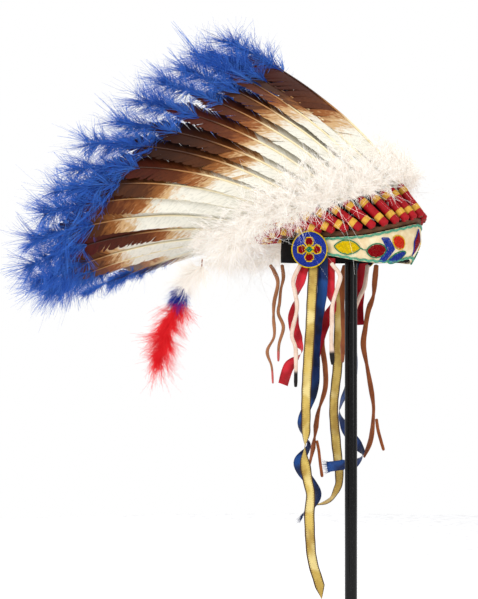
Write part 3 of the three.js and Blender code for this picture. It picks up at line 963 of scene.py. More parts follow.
def ribbon(name, side, stops):
    """A ribbon that hangs from behind a rosette and turns as its stops say."""
    tone = name.split("_")[0]
    look, slot, end = RIBBON_LOOKS[tone], tone + "_ribbon", RIBBON_ENDS[tone]
    points = hang(side, stops)
    path, at, twist = smooth_path(points, 2.5 * MM, np.asarray(stops, float)[:, 3:])
    along = tangents(path)
    side_way = unit(np.array([1.0, 0, 0]) - along * along[:, :1])
    other = np.cross(along, side_way)
    angle = np.radians(twist)
    width = np.cos(angle) * side_way + np.sin(angle) * other
    face = np.cross(along, width)
    length = float(at[-1])
    across = np.linspace(-1, 1, RIBBON_COLUMNS)
    half = np.full(len(path), RIBBON_WIDTH / 2)
    shift = np.zeros(len(path))
    if end == "pointed":
        left = np.clip((at - (length - POINT_LENGTH)) / POINT_LENGTH, 0, 1)
        half *= 1 - 0.93 * left
        shift = 0.55 * left * RIBBON_WIDTH / 2
    curl = (0.9 * MM) * (across**2)[None] * np.sin(at * 42 + side)[:, None]
    ripple = (0.35 * MM) * np.sin(at[:, None] * 260 + 3 * across[None]) * np.abs(across)[None]
    off = half[:, None, None] * across[None, :, None] + shift[:, None, None]
    sheet_at = path[:, None] + width[:, None] * off + face[:, None] * (curl + ripple)[:, :, None]
    parts = Parts()
    parts.add(
        sheet_at,
        grid_quads(len(path), RIBBON_COLUMNS),
        across=np.broadcast_to(across, sheet_at.shape[:2]).ravel(),
        along=np.repeat(at, RIBBON_COLUMNS),
    )
    made = parts.piece("hung_" + name, [look], [name])
    loose = [fray(name, look, sheet_at[-2], along[-1])] if end == "frayed" else []


# Each stop of a ribbon is how far ahead, below and outside, in millimetres, and its turn in degrees.
RIBBONS = {
    "gold_ribbon_right": (
        RIGHT,
        [
            [3, -5, 0.8, 0], [2, 41, 4, 0], [0, 90, 6, 4], [-3, 128, 6, -4], [-6, 180, 6, 4],
            [-7, 240, 6, 10], [-10, 273, 6, 95], [-6, 300, 6, 175], [0, 331, 6, 190], [-2, 360, 6, 172],
            [2, 415, 6, 182], [12, 450, 6, 180], [21, 474, 6, 180],
        ],
    ),
    "blue_ribbon_right": (
        RIGHT,
        [
            [16, -5, -0.6, 0], [13, 41, -7, 0], [4, 86, -12, 10], [-2, 125, -15, 0], [-5, 181, -17, 0],
            [-24, 232, -17, 20], [-14, 261, -18, 90], [-28, 290, -18, 165], [0, 331, -18, 200],
            [-24, 364, -18, 250],
        ],
    ),
    "red_ribbon_back_right": (
        RIGHT,
        [
            [-9, -5, -0.6, 0], [-19, 29, -2, 10], [-28, 58, -4, 80], [-31, 86, -5, 170],
            [-24, 110, -5, 180], [-18, 128, -5, 240], [-38, 149, -5, 340], [-47, 175, -5, 360],
        ],
    ),
    "red_ribbon_front_right": (
        RIGHT,
        [
            [26, -5, -3, 0], [22, 41, -14, 0], [25, 61, -22, 40], [13, 78, -27, 10], [-1, 110, -29, 0],
            [-10, 141, -29, 0],
        ],
    ),
    "gold_ribbon_left": (
        LEFT,
        [
            [-12, -5, 0.8, 0], [-24, 25, 4, 0], [-34, 55, 6, 0], [-36, 104, 6, 6], [-37, 154, 6, -4],
            [-44, 216, 6, 8], [-40, 265, 6, -4], [-34, 318, 6, 10], [-39, 340, 6, 30], [-53, 357, 6, 60],
            [-73, 362, 6, 70],
        ],
    ),
    "blue_ribbon_left": (
        LEFT,
        [
            [-6, -5, -1, 0], [-11, 30, -7, 0], [-10, 60, -9, 20], [-8, 119, -9, -10], [-8, 171, -9, 0],
            [-28, 216, -10, 60], [-18, 245, -12, 130], [2, 270, -12, 180], [11, 284, -14, 240],
            [-1, 298, -20, 300], [-18, 300, -22, 340], [-43, 304, -22, 360],
        ],
    ),
    "red_ribbon_left": (
        LEFT,
        [[7, -5, 0.8, 0], [-2, 45, 7, 0], [-4, 70, 8, 10], [-3, 92, 8, 0]],
    ),
}

for ribbon_name, (ribbon_side, ribbon_stops) in RIBBONS.items():
    ribbon(ribbon_name, ribbon_side, ribbon_stops)


# ---- Feathers ----

SHAFT_END = 352 * MM
PLUME_END = 426 * MM
VANE_WIDTH = [(52, 9), (82, 17), (130, 25), (190, 31), (260, 34), (310, 32), (335, 29), (352, 20), (380, 5)]
# How far along each feather its dark end begins, round the cap from the front.
DARK_FROM = [
    (0, 0.46), (13, 0.57), (23, 0.58), (33, 0.58), (43, 0.57), (53, 0.54), (63, 0.50), (73, 0.47),
    (83, 0.52), (93, 0.57), (103, 0.61), (118, 0.66), (133, 0.46), (148, 0.64), (163, 0.66), (180, 0.66),
]
LINE_STEP = 2 * MM
FAN_LINE = np.array([[0.0, 0.0, RIM + 40 * MM], [-0.45, 0.0, RIM + 100 * MM]])


class Line:
    """A smooth line for barbs and hairs to grow from. full is its nominal length."""

    def set_path(self, path, at, across, out, full):
        self.path, self.at, self.across, self.out, self.full = path, at, across, out, full
        self.way = tangents(path)
        self.length = at[-1]

    def at_share(self, distance):
        """Place, way, across and out at distances along, measured on the nominal length."""
        run = np.asarray(distance) * self.length / self.full
        known = (self.path, self.way, self.across, self.out)
        return [interp(run.ravel(), self.at, v).reshape(*run.shape, 3) for v in known]


class FeatherLine(Line):
    """A feather's centre line and its across and outward ways, taken from its CAD solid."""

    def __init__(self, name):
        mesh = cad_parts[name].data
        points = np.array([v.co for v in mesh.vertices], float)
        middle = points.mean(0)
        axis = np.linalg.svd(points - middle, full_matrices=False)[2][0]
        axis = axis * np.sign(axis[0])
        rings = rings_of(name, 8, axis)
        centres = np.array([ring.mean(0) for ring in rings])
        wide = [
            np.linalg.svd(ring - centre, full_matrices=False)[2][0] for ring, centre in zip(rings, centres)
        ]
        wide[0] = wide[1] = wide[3]
        for i in range(1, len(wide)):
            wide[i] = wide[i] * (1 if wide[i] @ wide[i - 1] >= 0 else -1)
        path, at, ways = smooth_path(centres, LINE_STEP, wide)
        way = tangents(path)
        across = unit(ways - way * (ways * way).sum(1, keepdims=True))
        out = np.cross(way, across)
        start, end = FAN_LINE
        centre = path[len(path) // 2]
        share = np.clip((centre - start) @ (end - start) / ((end - start) @ (end - start)), 0, 1)
        away = centre - (start + share * (end - start))
        if out[len(path) // 2] @ away < 0:
            out, across = -out, -across
        self.set_path(path, at, across, out, PLUME_END)
        self.rear = self.rear_side(name)

    def rear_side(self, name):
        """Which side of the shaft, 1 or -1, faces the back of the cap. A middle feather has none."""
        angle = int(name[-3:]) * (1 if "right" in name else -1)
        if angle % 180 == 0:
            return 0
        turn = np.sign(angle) * 3
        rearward = around_cap(angle + turn, 0.0, 0.0) - around_cap(angle - turn, 0.0, 0.0)
        return int(np.sign(rearward @ self.across[0]))


BARB_SPACING = 2.1 * MM
BARB_STEPS = 7
REAR_NARROW = 0.36
FRONT_BROAD = 0.04


def vane(parts, line, rng, start, fold):
    """Barbs down both sides of the shaft, in clumps that draw together towards the edge.

    start is how far along the dark end begins, and fold is how far the edges turn in.
    """
    spacing, steps = BARB_SPACING, BARB_STEPS
    for side in (-1, 1):
        roots = np.arange(57 * MM, 349 * MM, spacing)
        edges = np.cumsum(rng.uniform(5, 19, 60)) * MM + 50 * MM
        clump = np.searchsorted(edges, roots)
        members = [roots[clump == c] for c in range(clump.max() + 1)]
        middle = np.array([m.mean() if len(m) else 0 for m in members])
        half_clump = np.array([max(np.ptp(m), spacing) / 2 if len(m) else 1 for m in members])
        outer = np.clip((middle / PLUME_END - start) * 6 + 0.5, 0, 1)
        split = rng.uniform(size=clump.max() + 1) ** 2.5
        pull = 0.02 + split * (0.12 + 0.4 * outer)
        lift = rng.normal(0, 0.55 * MM, clump.max() + 1)
        stray = rng.normal(0, 0.03, clump.max() + 1)
        wide_at, wide = np.array(VANE_WIDTH).T * MM
        guess = np.interp(roots, wide_at, wide)
        reach = np.interp(roots + 0.9 * guess, wide_at, wide)
        near = np.abs(roots - middle[clump]) / half_clump[clump]
        uneven = stray[clump] * (0.4 + outer[clump]) + rng.normal(0, 0.008, len(roots))
        uneven = 1 - (0.02 + 0.10 * outer[clump]) * near**2 + uneven
        broad = FRONT_BROAD if side == -line.rear else -REAR_NARROW * abs(line.rear)
        reach = reach * uneven * (1 + broad)
        u = np.linspace(0, 1, steps)
        run = roots[:, None] + 1.05 * reach[:, None] * u[None] ** 1.1
        run = run + (middle[clump] - roots)[:, None] * pull[clump][:, None] * u[None] ** 2.2
        half = spacing * 0.70 * (1 - 0.2 * u**2)
        off = reach[:, None] * u[None]
        sag = -fold * u[None] ** 1.5 * (reach[:, None] / (26 * MM)) + lift[clump][:, None] * u[None]
        sides = []
        for edge in (-1, 1):
            place, _, across, out = line.at_share(run + edge * half[None])
            sides.append(
                place + across * (side * off)[..., None] + out * (sag + edge * 0.12 * MM)[..., None]
            )
        points = np.stack(sides, 2)
        quads = grid_quads(steps, 2)[None] + (np.arange(len(roots)) * steps * 2)[:, None, None]
        tone = 0.62 + 1.35 * ((run - 0.35 * off) / PLUME_END - start) + stray[clump][:, None] * 0.6
        barb = roots[:, None, None] + np.array([-0.5, 0.5]) * spacing + np.zeros((1, steps, 1))
        parts.add(
            points,
            quads,
            VANE_PART,
            tone=np.repeat(tone[..., None], 2, 2).ravel(),
            barb=(barb + side * 0.5).ravel(),
            reach=np.repeat(off[..., None], 2, 2).ravel(),
        )


def tufted(parts, look, line, rng, count, begin, end, length, width, spread, droop, tuft=14):
    """A plume of down in tufts, from a stretch of a line.

    spread is how far the hairs open, droop how far they hang, and tuft the hairs in a tuft.
    """
    tufts = max(4, count // tuft)
    owner = rng.integers(0, tufts, count)
    spin = rng.uniform(0, 2 * math.pi, tufts)
    opening = spread * rng.uniform(0.1, 1.0, tufts)
    tuft_at = rng.uniform(begin, end, tufts)
    size = rng.uniform(0.75, 1.15, tufts)
    roots_at = (tuft_at[owner] + rng.normal(0, 2.5 * MM, count)).clip(begin, end)
    place, way, across, out = line.at_share(roots_at)
    spin = spin[owner] + rng.normal(0, 0.35, count)
    open_by = (opening[owner] + rng.normal(0, 0.12, count))[:, None]
    side = np.cos(spin)[:, None] * across + 0.62 * np.sin(spin)[:, None] * out
    heading = unit(way * (1.05 - 0.5 * np.clip(open_by, 0, 1.4)) + side * open_by)
    curl = rng.normal(size=(tufts, 3)) * 0.26
    bend = (
        -UP * droop * rng.uniform(0.3, 1.0, (count, 1)) + way * 0.10 + curl[owner]
        + rng.normal(size=(count, 3)) * 0.08
    )
    hairs(
        parts,
        look,
        place + side * 1.2 * MM,
        heading,
        length * size[owner] * rng.uniform(0.7, 1.0, count),
        width,
        bend,
        rng,
        # Each tuft's share of the patch colour, which paints lit or shaded tufts.
        seed=(rng.uniform(0, 1, tufts)[owner] * 0.7 + rng.uniform(0, 0.3, count)),
    )


FEATHER_LOOKS = [VANE, SHAFT, WRAP_RED, WRAP_GOLD, LEATHER, BLUE_DOWN]
VANE_PART, SHAFT_PART, RED_PART, GOLD_PART, LOOP_PART, PLUME_PART = range(len(FEATHER_LOOKS))
# The wrap's bands: from, to and radius in millimetres, and the look.
WRAP_BANDS = [
    (0.2, 10, 6.0, RED_PART),
    (9.6, 18.4, 6.4, GOLD_PART),
    (18, 40, 6.2, RED_PART),
    (39.6, 48.4, 6.4, GOLD_PART),
    (48, 53.5, 5.8, RED_PART),
]


def wrap(parts, line, angle):
    """Red cloth and raised gold thread round the feather's foot, with the leather loop below."""
    for low, high, size, look in WRAP_BANDS:
        at = np.linspace(low, high, max(6, int((high - low) * 1.4))) * MM
        place, _, across, _ = line.at_share(at)
        turns = np.arange(len(at))
        if look == GOLD_PART:
            profile = size * MM + 0.28 * MM * np.sin(turns * 2.2)
        else:
            profile = size * MM + 0.12 * MM * np.sin(turns * 1.1 + angle)
        profile[[0, -1]] *= 0.9
        tube(parts, place, profile, look, sides=16, facing=across[0], along=at, across=0.0)
    place, way, across, _ = line.at_share(np.array([1.0]) * MM)
    spin = np.linspace(-0.3, math.pi + 0.3, 12)[:, None]
    loop = place[0] - way[0] * 2.6 * MM * np.sin(spin) + across[0] * 3.4 * MM * np.cos(spin)
    tube(parts, loop, 1.1 * MM, LOOP_PART, sides=6)


def feather(name, rng):
    """A wrapped feather with its vane, shaft, cloth wrap and dyed plume."""
    angle = int(name[-3:])
    line = FeatherLine(name)
    parts = Parts()
    start = float(np.interp(angle, *zip(*DARK_FROM))) + rng.uniform(-0.015, 0.015)
    vane(parts, line, rng, start, float(np.interp(angle, [0, 13, 33, 60], [17, 9, 5, 2.4])) * MM)
    shaft_at = np.linspace(50 * MM, SHAFT_END, 60)
    place, _, _, out = line.at_share(shaft_at)
    radius = np.interp(shaft_at, [50 * MM, 200 * MM, SHAFT_END], [1.9 * MM, 1.5 * MM, 0.7 * MM])
    place = place + out * 1.0 * MM
    tube(parts, place, radius, SHAFT_PART, sides=6, tone=0.62 + 1.5 * (shaft_at / PLUME_END - start))
    hue = float(rng.uniform(0, 1)) ** 2.4
    wrap(parts, line, angle)
    slim = 0.48 if "left" in name and angle > 110 else 1.0
    full = dict(begin=304 * MM, end=402 * MM, length=37 * MM * slim, width=0.9 * MM, spread=1.6)
    stray = dict(begin=330 * MM, end=408 * MM, length=46 * MM * slim, width=0.4 * MM, spread=1.5)
    tufted(parts, PLUME_PART, line, rng, 820, **full, droop=0.10 * slim, tuft=9)
    tufted(parts, PLUME_PART, line, rng, 130, **stray, droop=0.04, tuft=2)
    parts.fields["hue"] = [np.full(parts.count, hue)]
    parts.piece("wrapped_" + name, FEATHER_LOOKS, [name])
    return line


LINES = {}
for order, feather_name in enumerate(sorted(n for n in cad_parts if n.startswith("feather_"))):
    LINES[feather_name] = feather(feather_name, np.random.default_rng(100 + order))

# ---- The ruff of white down ----


def surface_points(name, count, rng):
    """Points spread evenly over a CAD node, with the outward way at each."""
    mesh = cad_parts[name].data
    mesh.calc_loop_triangles()
    points = np.array([v.co for v in mesh.vertices], float)
    corners = points[np.array([t.vertices for t in mesh.loop_triangles])]
    normals = np.cross(corners[:, 1] - corners[:, 0], corners[:, 2] - corners[:, 0])
    area = np.linalg.norm(normals, axis=1)
    pick = rng.choice(len(area), count, p=area / area.sum())
    a, b = rng.uniform(size=(2, count, 1))
    flip = a + b > 1
    a, b = np.where(flip, 1 - a, a), np.where(flip, 1 - b, b)
    c = corners[pick]
    return c[:, 0] + a * (c[:, 1] - c[:, 0]) + b * (c[:, 2] - c[:, 0]), unit(normals[pick])


def nearest_feather(points):
    """The way of the nearest feather at each point, and how far along that feather it is."""
    places = np.vstack([line.path[::4] for line in LINES.values()])
    ways = np.vstack([line.way[::4] for line in LINES.values()])
    along = np.concatenate([line.at[::4] for line in LINES.values()])
    found = np.empty(len(points), int)
    for i in range(0, len(points), 2000):
        gap = ((points[i : i + 2000, None] - places[None]) ** 2).sum(-1)
        found[i : i + 2000] = gap.argmin(1)
    return ways[found], along[found]


def ruff(name, count, rng):
    """Down in tufts over the feathers' feet, thick by the wraps and thinning outwards."""
    roots, normals = surface_points(name, count // 6, rng)
    ways, along = nearest_feather(roots)
    kept = rng.uniform(size=len(roots)) < np.interp(
        along, [44 * MM, 54 * MM, 80 * MM, 102 * MM, 130 * MM], [0.25, 1, 0.75, 0.25, 0.04],
    )
    roots, normals, ways, along = roots[kept], normals[kept], ways[kept], along[kept]
    tufts = len(roots)
    near = np.clip((90 * MM - along) / (40 * MM), 0, 1)[:, None]
    heading = unit(
        ways * (0.9 - 1.1 * near * rng.uniform(0, 1, (tufts, 1)))
        + normals * rng.uniform(0.2, 1.0, (tufts, 1)) + rng.normal(size=(tufts, 3)) * 0.6
    )
    curl = rng.normal(size=(tufts, 3)) * 0.30
    size = rng.uniform(0.55, 1.1, tufts) * np.interp(along, [50 * MM, 90 * MM, 140 * MM], [0.8, 1.0, 1.0])
    # How much of the darker patch colour each tuft takes: painted shade, partly also tone that differs from
    # tuft to tuft.
    shade = rng.uniform(0, 1, tufts)
    owner = rng.integers(0, tufts, count)
    parts = Parts()
    hairs(
        parts,
        0,
        roots[owner] + rng.normal(size=(count, 3)) * 1.6 * MM - normals[owner] * 3 * MM,
        unit(heading[owner] + rng.normal(size=(count, 3)) * 0.24),
        31 * MM * size[owner] * rng.uniform(0.55, 1.0, count),
        0.6 * MM,
        curl[owner] + rng.normal(size=(count, 3)) * 0.12 - UP * 0.05,
        rng,
        steps=3,
        wiggle=0.08,
        seed=shade[owner] * 0.6 + rng.uniform(0, 0.4, count),
    )
    wisps = count // 12
    owner = rng.integers(0, tufts, wisps)
    hairs(
        parts,
        0,
        roots[owner],
        unit(heading[owner] + normals[owner] * 0.5 + rng.normal(size=(wisps, 3)) * 0.5),
        rng.uniform(26, 46, wisps) * MM,
        0.5 * MM,
        rng.normal(size=(wisps, 3)) * 0.7,
        rng,
        steps=6,
        wiggle=0.12,
        seed=0.0,
    )
    return parts.piece("ruff_" + name[5:], [WHITE_DOWN], [name])


RUFF_HAIRS = {"down_front": 8600, "down_right": 9000, "down_left": 5400, "down_back": 5400}

for order, (down_name, hair_count) in enumerate(RUFF_HAIRS.items()):
    ruff(down_name, hair_count, np.random.default_rng(40 + order))

# ---- The tail plume ----

TAIL_TOP = np.array([-199.0, -84.0, 565.0]) * MM
TAIL_STOPS = [
    [0, 0], [-2, 14], [-12, 20], [-28, 32], [-34, 44], [-37, 50], [-38, 58], [-40, 68], [-44, 76],
    [-50, 84], [-58, 104], [-66, 126], [-72, 150], [-74, 172], [-72, 186],
]


class PlainLine(Line):
    """A line through points, measured in its own length."""

    def __init__(self, points):
        path, at = smooth_path(points, LINE_STEP)
        way = tangents(path)
        across = unit(np.cross(way, np.array([0.0, 1.0, 0.0])))
        self.set_path(path, at, across, np.cross(way, across), at[-1])


def tail_plume():
    rng = np.random.default_rng(9)
    stops = np.array(TAIL_STOPS, float) * MM
    x, z = TAIL_TOP[0] + stops[:, 0], TAIL_TOP[2] - stops[:, 1]
    line = PlainLine(np.stack([x, np.full(len(stops), TAIL_TOP[1]), z], -1))
    parts = Parts()
    tube(parts, line.path[: len(line.path) * 4 // 5], 0.9 * MM, 0, sides=6, run=0.2)
    white = dict(begin=10 * MM, end=46 * MM, length=30 * MM, width=0.6 * MM, spread=1.5)
    navy = dict(begin=54 * MM, end=70 * MM, length=22 * MM, width=0.6 * MM, spread=1.0)
    red = dict(begin=70 * MM, end=168 * MM, length=32 * MM, width=0.6 * MM, spread=1.25)
    stray = dict(begin=80 * MM, end=180 * MM, length=34 * MM, width=0.35 * MM, spread=1.3)
    tufted(parts, 1, line, rng, 1500, **white, droop=0.25)
    tufted(parts, 2, line, rng, 1200, **navy, droop=0.15)
    tufted(parts, 3, line, rng, 2600, **red, droop=0.1)
    tufted(parts, 3, line, rng, 160, **stray, droop=0.0, tuft=2)
    looks = [SUEDE, WHITE_DOWN, NAVY_DOWN, RED_DOWN]
    parts.piece("tail_plume_hanging", looks, ["tail_plume"])


tail_plume()

# ---- The cap, its lacing strip and the beaded browband ----


def cap():
    rng = np.random.default_rng(3)
    turns, rows = 120, 34
    angle = np.linspace(0, 360, turns, endpoint=False)
    parts = Parts()
    shells = []
    for wall, order in ((0.0, 1), (CAP_WALL, -1)):
        share = np.sin(np.linspace(0, math.pi / 2, rows)) * (CAP_RISE - wall)
        radius = np.clip(1 - (share / (CAP_RISE - wall)) ** CAP_ROUNDNESS, 0, None) ** (1 / CAP_ROUNDNESS)
        rim = around_cap(angle[None], share[:, None], -wall)
        centre = np.array([CAP_X, 0.0, 0.0])
        flat = centre + (rim - centre) * radius[:, None, None]
        flat[..., 2] = RIM + share[:, None]
        shells.append(flat[::order])
    outer, inner = shells
    body = np.concatenate([inner, outer])
    fuzz = rng.normal(size=body.shape[:2]) * 0.12 * MM
    body = body + fuzz[..., None] * unit(body - np.array([CAP_X, 0, RIM]))
    parts.add(body, grid_quads(len(body), turns, closed=True))
    parts.piece("felt_cap", [FELT], ["cap"])


BAND_TOP = from_front_to_back([54, 47, 37, 34, 34, 34, 34])
BAND_BOTTOM = from_front_to_back([4, -2, 0, 9, 12, 12, 12])
STRIP_RISE = from_front_to_back([55.5, 48.5, 38.5, 35.5, 35, 35, 35])
STRIP_FLARE = from_front_to_back([3, 2.5, 0.5, 0, 0, 0, 0])
BAND_OUT = 6 * MM


def lacing_strip():
    turns = 360
    angle = np.linspace(-180, 180, turns, endpoint=False)
    low, flare = STRIP_RISE(angle), STRIP_FLARE(angle)
    ripple = 0.5 * MM * np.sin(np.radians(angle) * 37) + 0.3 * MM * np.sin(np.radians(angle) * 61)
    section = [
        (0.0, 3.5, 0), (0.5, 3.9, 0.5), (1.0, 3.5, 1), (1.06, 2.6, 1), (1.0, 1.5, 1), (0.5, 1.4, 0.5),
        (0.0, 1.5, 0), (-0.05, 2.6, 0),
    ]
    rings = [
        around_cap(angle, low + share * 6.5 * MM + ripple * share, out * MM + flare * lean)
        for share, out, lean in section
    ]
    parts = Parts()
    parts.add(np.stack(rings, 1), grid_quads(turns, len(section), closed=True, looped=True))
    parts.piece("leather_lacing_strip", [LEATHER], ["lacing_strip"])


class BandMap:
    """Turns millimetres along the browband from the front, and height above the rim, into places."""

    def __init__(self):
        self.angle = np.linspace(-100, 100, 801)
        line = around_cap(self.angle, np.full(801, 25 * MM), BAND_OUT)
        run = np.concatenate([[0], np.cumsum(np.linalg.norm(np.diff(line, axis=0), axis=1))])
        self.run = (run - run[400]) / MM

    def at(self, along, rise, lift=0.0):
        return around_cap(
            np.interp(along, self.run, self.angle), np.asarray(rise, float) * MM, BAND_OUT + lift,
        )

    def edges(self, along):
        angle = np.interp(along, self.run, self.angle)
        return BAND_BOTTOM(angle) / MM, BAND_TOP(angle) / MM


BAND_MAP = BandMap()


def beads(parts, places, ways, ups, looks, rng, radius=0.93 * MM, length=1.72 * MM):
    """Little glass barrels, each strung along its way."""
    count = len(places)
    sides = 6
    profile = np.array([(-0.5, 0.66), (-0.3, 0.98), (0.3, 0.98), (0.5, 0.66)])
    size = rng.uniform(0.9, 1.06, (count, 1))
    ways = unit(ways + rng.normal(size=(count, 3)) * 0.05)
    ups = unit(ups - ways * (ups * ways).sum(1, keepdims=True))
    other = np.cross(ways, ups)
    spin = np.linspace(0, 2 * math.pi, sides, endpoint=False)
    ring = (
        np.cos(spin)[None, None, :, None] * ups[:, None, None]
        + np.sin(spin)[None, None, :, None] * other[:, None, None]
    )
    points = (
        places[:, None, None]
        + (size * length)[:, None, None] * profile[None, :, None, :1] * ways[:, None, None]
        + (size * radius)[:, None, None] * profile[None, :, None, 1:] * ring
    )
    cell = grid_quads(4, sides, closed=True)
    quads = cell[None] + (np.arange(count) * 4 * sides)[:, None, None]
    parts.add(
        points, quads, np.repeat(looks, len(cell)), seed=np.repeat(rng.uniform(0, 1, count), 4 * sides),
    )


BEAD_ORDER = list(BEADS)
BEAD_PITCH = 1.72


def strung(points, pitch=BEAD_PITCH, closed=False):
    """Places each pitch along a run of straight bits, in millimetres, and the way at each."""
    points = np.asarray(points, float)
    if closed:
        points = np.vstack([points, points[:1]])
    run = np.concatenate([[0], np.cumsum(np.linalg.norm(np.diff(points, axis=0), axis=1))])
    count = max(1, round(run[-1] / pitch))
    at = (np.arange(count) + 0.5) * run[-1] / count
    place = interp(at, run, points)
    ahead = interp(np.minimum(at + 0.4, run[-1]), run, points)
    return place, ahead - interp(np.maximum(at - 0.4, 0), run, points)


def leaf(centre, long, wide, turn=0.0, bow=1.6):
    """A leaf shape's outline, pointed at both ends."""
    t = np.linspace(0, 2 * math.pi, 40, endpoint=False)
    x = np.cos(t) * long / 2
    y = np.sign(np.sin(t)) * np.abs(np.sin(t)) ** bow * wide / 2
    c, s = math.cos(math.radians(turn)), math.sin(math.radians(turn))
    return np.stack([centre[0] + x * c - y * s, centre[1] + x * s + y * c], -1)


def inside(points, outline):
    """Which points lie inside an outline."""
    hit = np.zeros(len(points), bool)
    following = np.roll(outline, -1, 0)
    for (x0, y0), (x1, y1) in zip(outline, following):
        crosses = (y0 > points[:, 1]) != (y1 > points[:, 1])
        with np.errstate(divide="ignore", invalid="ignore"):
            hit ^= crosses & (points[:, 0] < (x1 - x0) * (points[:, 1] - y0) / (y1 - y0) + x0)
    return hit


def gap_to(points, outline):
    """How far points are from an outline."""
    found = np.full(len(points), 1e9)
    for a, b in zip(outline, np.roll(outline, -1, 0)):
        ab = b - a
        t = np.clip(((points - a) @ ab) / max(ab @ ab, 1e-9), 0, 1)
        found = np.minimum(found, np.linalg.norm(points - (a + t[:, None] * ab), axis=1))
    return found


def filled(outline, colour):
    """Rows of beads across the inside of an outline."""
    rows = []
    for y in np.arange(outline[:, 1].min() + 1.2, outline[:, 1].max(), BEAD_PITCH * 0.96):
        x = np.arange(outline[:, 0].min() + 0.4, outline[:, 0].max(), BEAD_PITCH * 0.96)
        row = np.stack([x, np.full(len(x), y)], -1)
        row = row[inside(row, outline)]
        row = row[gap_to(row, outline) > 1.15] if len(row) else row
        if len(row):
            rows.append((row, np.tile([1.0, 0.0], (len(row), 1)), colour))
    return rows


def bead_lines():
    """The band's bead lines, as [places, ways, colour]: edge waves and the filled motifs."""
    lines = []
    along = np.arange(-157, 157.1, 1.0)
    low, high = BAND_MAP.edges(along)
    for edge, inset in ((low, 1.2), (low, 2.9), (high, -1.2), (high, -2.9)):
        wave = 0.6 * np.sin(along * 2 * math.pi / 13)
        lines.append((*strung(np.stack([along, edge + inset + wave], -1)), "seafoam"))
    for side in (-1, 1):
        shapes = [
            (leaf((119.5, 20), 37, 20, 5), "yellow", "green"),
            (leaf((77, 15), 29, 20, -3, 1.2), "red", "green"),
            (leaf((43, 27), 25, 17, 38, 1.2), "orange", "gold"),
            (leaf((39, 6), 33, 14, -24, 1.3), "blue", "green"),
            (np.array([(71, 33), (61, 33), (49, 17), (60, 0), (71, 0), (60, 16)], float), "blue", "blue"),
        ]
        for outline, fill, rim in shapes:
            outline = outline * [side, 1]
            lines.append((*strung(outline, closed=True), rim))
            lines.extend(filled(outline, fill))
        lines.append((*strung(np.array([(101, 19), (96, 16), (91, 16)], float) * [side, 1]), "green"))
    centre = np.array([(0, 47), (11, 29), (0, 9), (-11, 29)], float)
    lines.append((*strung(centre, closed=True), "blue"))
    lines.extend(filled(centre, "red"))
    return lines


def browband():
    rng = np.random.default_rng(8)
    along = np.arange(-159, 159.1, 1.5)
    low, high = BAND_MAP.edges(along)
    share = np.linspace(0, 1, 22)
    rise = low[:, None] + (high - low)[:, None] * share[None]
    wrinkle = 0.35 * MM * np.sin(along[:, None] * 0.31 + 4 * share[None]) * np.sin(share[None] * math.pi)
    wrinkle = wrinkle + 0.25 * MM * np.sin(along[:, None] * 0.83 - 6 * share[None])
    edge = 1.2 * MM * (np.abs(2 * share - 1) ** 6)[None]
    front = BAND_MAP.at(along[:, None] + np.zeros_like(rise), rise, wrinkle - edge)
    back = BAND_MAP.at(along[:, None] + np.zeros_like(rise), rise, -2.6 * MM + 0 * rise)
    shell = np.concatenate([front, back[:, ::-1]], 1)
    parts = Parts()
    quads = grid_quads(len(along), 44, closed=True)
    run = np.repeat(along * MM, 44)
    parts.add(shell, quads, 0, along=run, across=np.concatenate([rise, rise[:, ::-1]], 1).ravel() * MM)
    for last in (0, len(along) - 1):
        strip = np.stack([shell[last, :22], shell[last, 22:][::-1]], 1)
        parts.add(strip, grid_quads(22, 2), 0)
    places, ways, looks = [], [], []
    for place, way, colour in bead_lines():
        places.append(place)
        ways.append(way)
        looks.append(np.full(len(place), BEAD_ORDER.index(colour) + 1))
    places, ways, looks = np.vstack(places), np.vstack(ways), np.concatenate(looks)
    here = BAND_MAP.at(places[:, 0], places[:, 1], 0.85 * MM)
    step = unit(ways) * 0.5
    there = BAND_MAP.at(places[:, 0] + step[:, 0], places[:, 1] + step[:, 1], 0.85 * MM)
    lifted = BAND_MAP.at(places[:, 0], places[:, 1], 3 * MM)
    beads(parts, here, unit(there - here), unit(lifted - here), looks, rng)
    parts.piece("beaded_browband", [BAND, *BEADS.values()], ["browband"])


ROSETTE_TURN = math.radians(8)


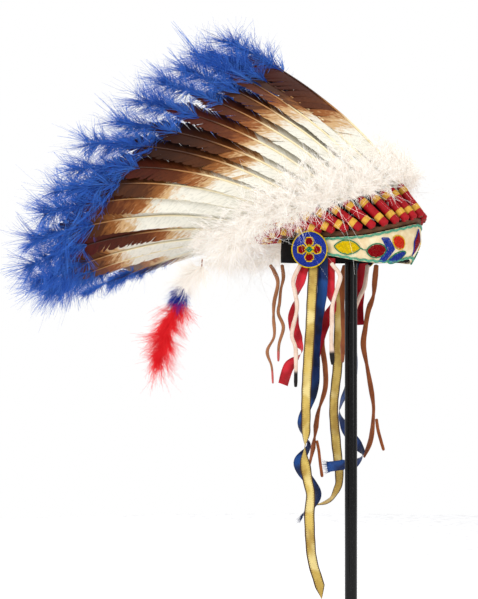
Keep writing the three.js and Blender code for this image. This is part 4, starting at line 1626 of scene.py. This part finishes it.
def rosette(name, side):
    """A round patch of beads in rings: four petals round a middle patch, on a plain ground."""
    rng = np.random.default_rng(20 + side)
    low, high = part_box(name)
    centre = (np.array(low) + np.array(high)) / 2
    axis = np.array([math.sin(ROSETTE_TURN), side * math.cos(ROSETTE_TURN), 0.0])
    across = np.cross(UP, axis)
    parts = Parts()
    r = np.array([0.01, 8, 16, 22, 25, 26, 26.2, 25, 0.01])
    z = np.array([1.9, 1.8, 1.3, 0.7, 0.3, -0.4, -1.2, -1.9, -1.9])
    turned(parts, np.stack([z, r], -1) * MM, centre, axis, 64, 0, along=0.0, across=0.0)
    flat, ways = [], []
    for ring in np.arange(25.6, 0.5, -BEAD_PITCH):
        count = max(1, round(2 * math.pi * ring / (BEAD_PITCH * 0.98)))
        spin = np.arange(count) * 2 * math.pi / count + rng.uniform(0, 6)
        flat.append(np.stack([np.cos(spin), np.sin(spin)], -1) * ring)
        ways.append(np.stack([-np.sin(spin), np.cos(spin)], -1))
    flat, ways = np.vstack(flat), np.vstack(ways)
    x, y = flat.T
    reach = np.hypot(x, y)
    looks = np.full(len(flat), BEAD_ORDER.index("blue") + 1)
    petal = np.minimum(
        np.hypot((np.abs(x) - 11.2) / 5.4, y / 5.0),
        np.hypot((np.abs(y) - 11.2) / 5.4, x / 5.0),
    )
    looks[petal < 1.36] = BEAD_ORDER.index("yellow") + 1
    looks[petal < 1.02] = BEAD_ORDER.index("red") + 1
    patch = np.abs(x) + np.abs(y)
    looks[patch < 7.4] = BEAD_ORDER.index("yellow") + 1
    looks[patch < 5.2] = BEAD_ORDER.index("green") + 1
    looks[reach > 24.2] = BEAD_ORDER.index("yellow") + 1
    dome = np.interp(reach, r[:5], z[:5]) + 0.55
    places = centre + (across * x[:, None] + UP * y[:, None] + axis * dome[:, None]) * MM
    beads(parts, places, across * ways[:, :1] + UP * ways[:, 1:], np.tile(axis, (len(x), 1)), looks, rng)
    parts.piece("beaded_" + name, [BACKING, *BEADS.values()], [name])


cap()
lacing_strip()
browband()
rosette("rosette_right", RIGHT)
rosette("rosette_left", LEFT)

# ---- The stand ----


def stand():
    low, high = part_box("stand_base")
    middle = np.array([(low.x + high.x) / 2, (low.y + high.y) / 2, 0.0])
    radius = (high.x - low.x) / 2
    tall = high.z
    parts = Parts()
    profile = [
        (0.0, 0.002), (0.0, radius - 1.6 * MM), (0.6 * MM, radius - 0.6 * MM), (1.6 * MM, radius),
        (tall - 2 * MM, radius), (tall - 0.8 * MM, radius - 0.7 * MM), (tall, radius - 2.2 * MM),
        (tall, 0.002),
    ]
    turned(parts, profile, middle, UP, 128)
    parts.piece("stand_base_round", [PAINT], ["stand_base"])
    low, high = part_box("stand_pole")
    radius = 9 * MM
    parts = Parts()
    pole_top = high.z
    foot = [
        (tall - 0.4 * MM, 0.001), (tall - 0.4 * MM, radius + 4 * MM), (tall + 3 * MM, radius + 3.4 * MM),
        (tall + 7 * MM, radius + 0.8 * MM), (tall + 9 * MM, radius),
    ]
    rise = np.linspace(tall + 12 * MM, pole_top - 3 * MM, 12)
    turned(
        parts,
        [*foot, *[(z, radius) for z in rise], (pole_top - 0.6 * MM, radius - 1.2 * MM), (pole_top, 0.001)],
        np.zeros(3),
        UP,
        40,
    )
    parts.piece("stand_pole_round", [PAINT], ["stand_pole"])


stand()


def studio():
    """A round pale floor under the stand."""
    parts = Parts()
    profile = [(0.0, 0.001), (0.0, 0.4), (0.0, 0.9), (0.0, 1.6), (-0.01, 2.0)]
    turned(parts, profile, np.array([0.0, 0.0, -0.0004]), UP, 96)
    look = finish_look(
        "pale_floor",
        grain_colour(linear(243, 243, 244), linear(238, 238, 240), 60.0, 4.0, 0.3),
        roughness=0.9,
        bump_depth=0.00002,
        glow=0.34,
    )
    made = parts.piece("floor", [look])
    made.parent = None


studio()
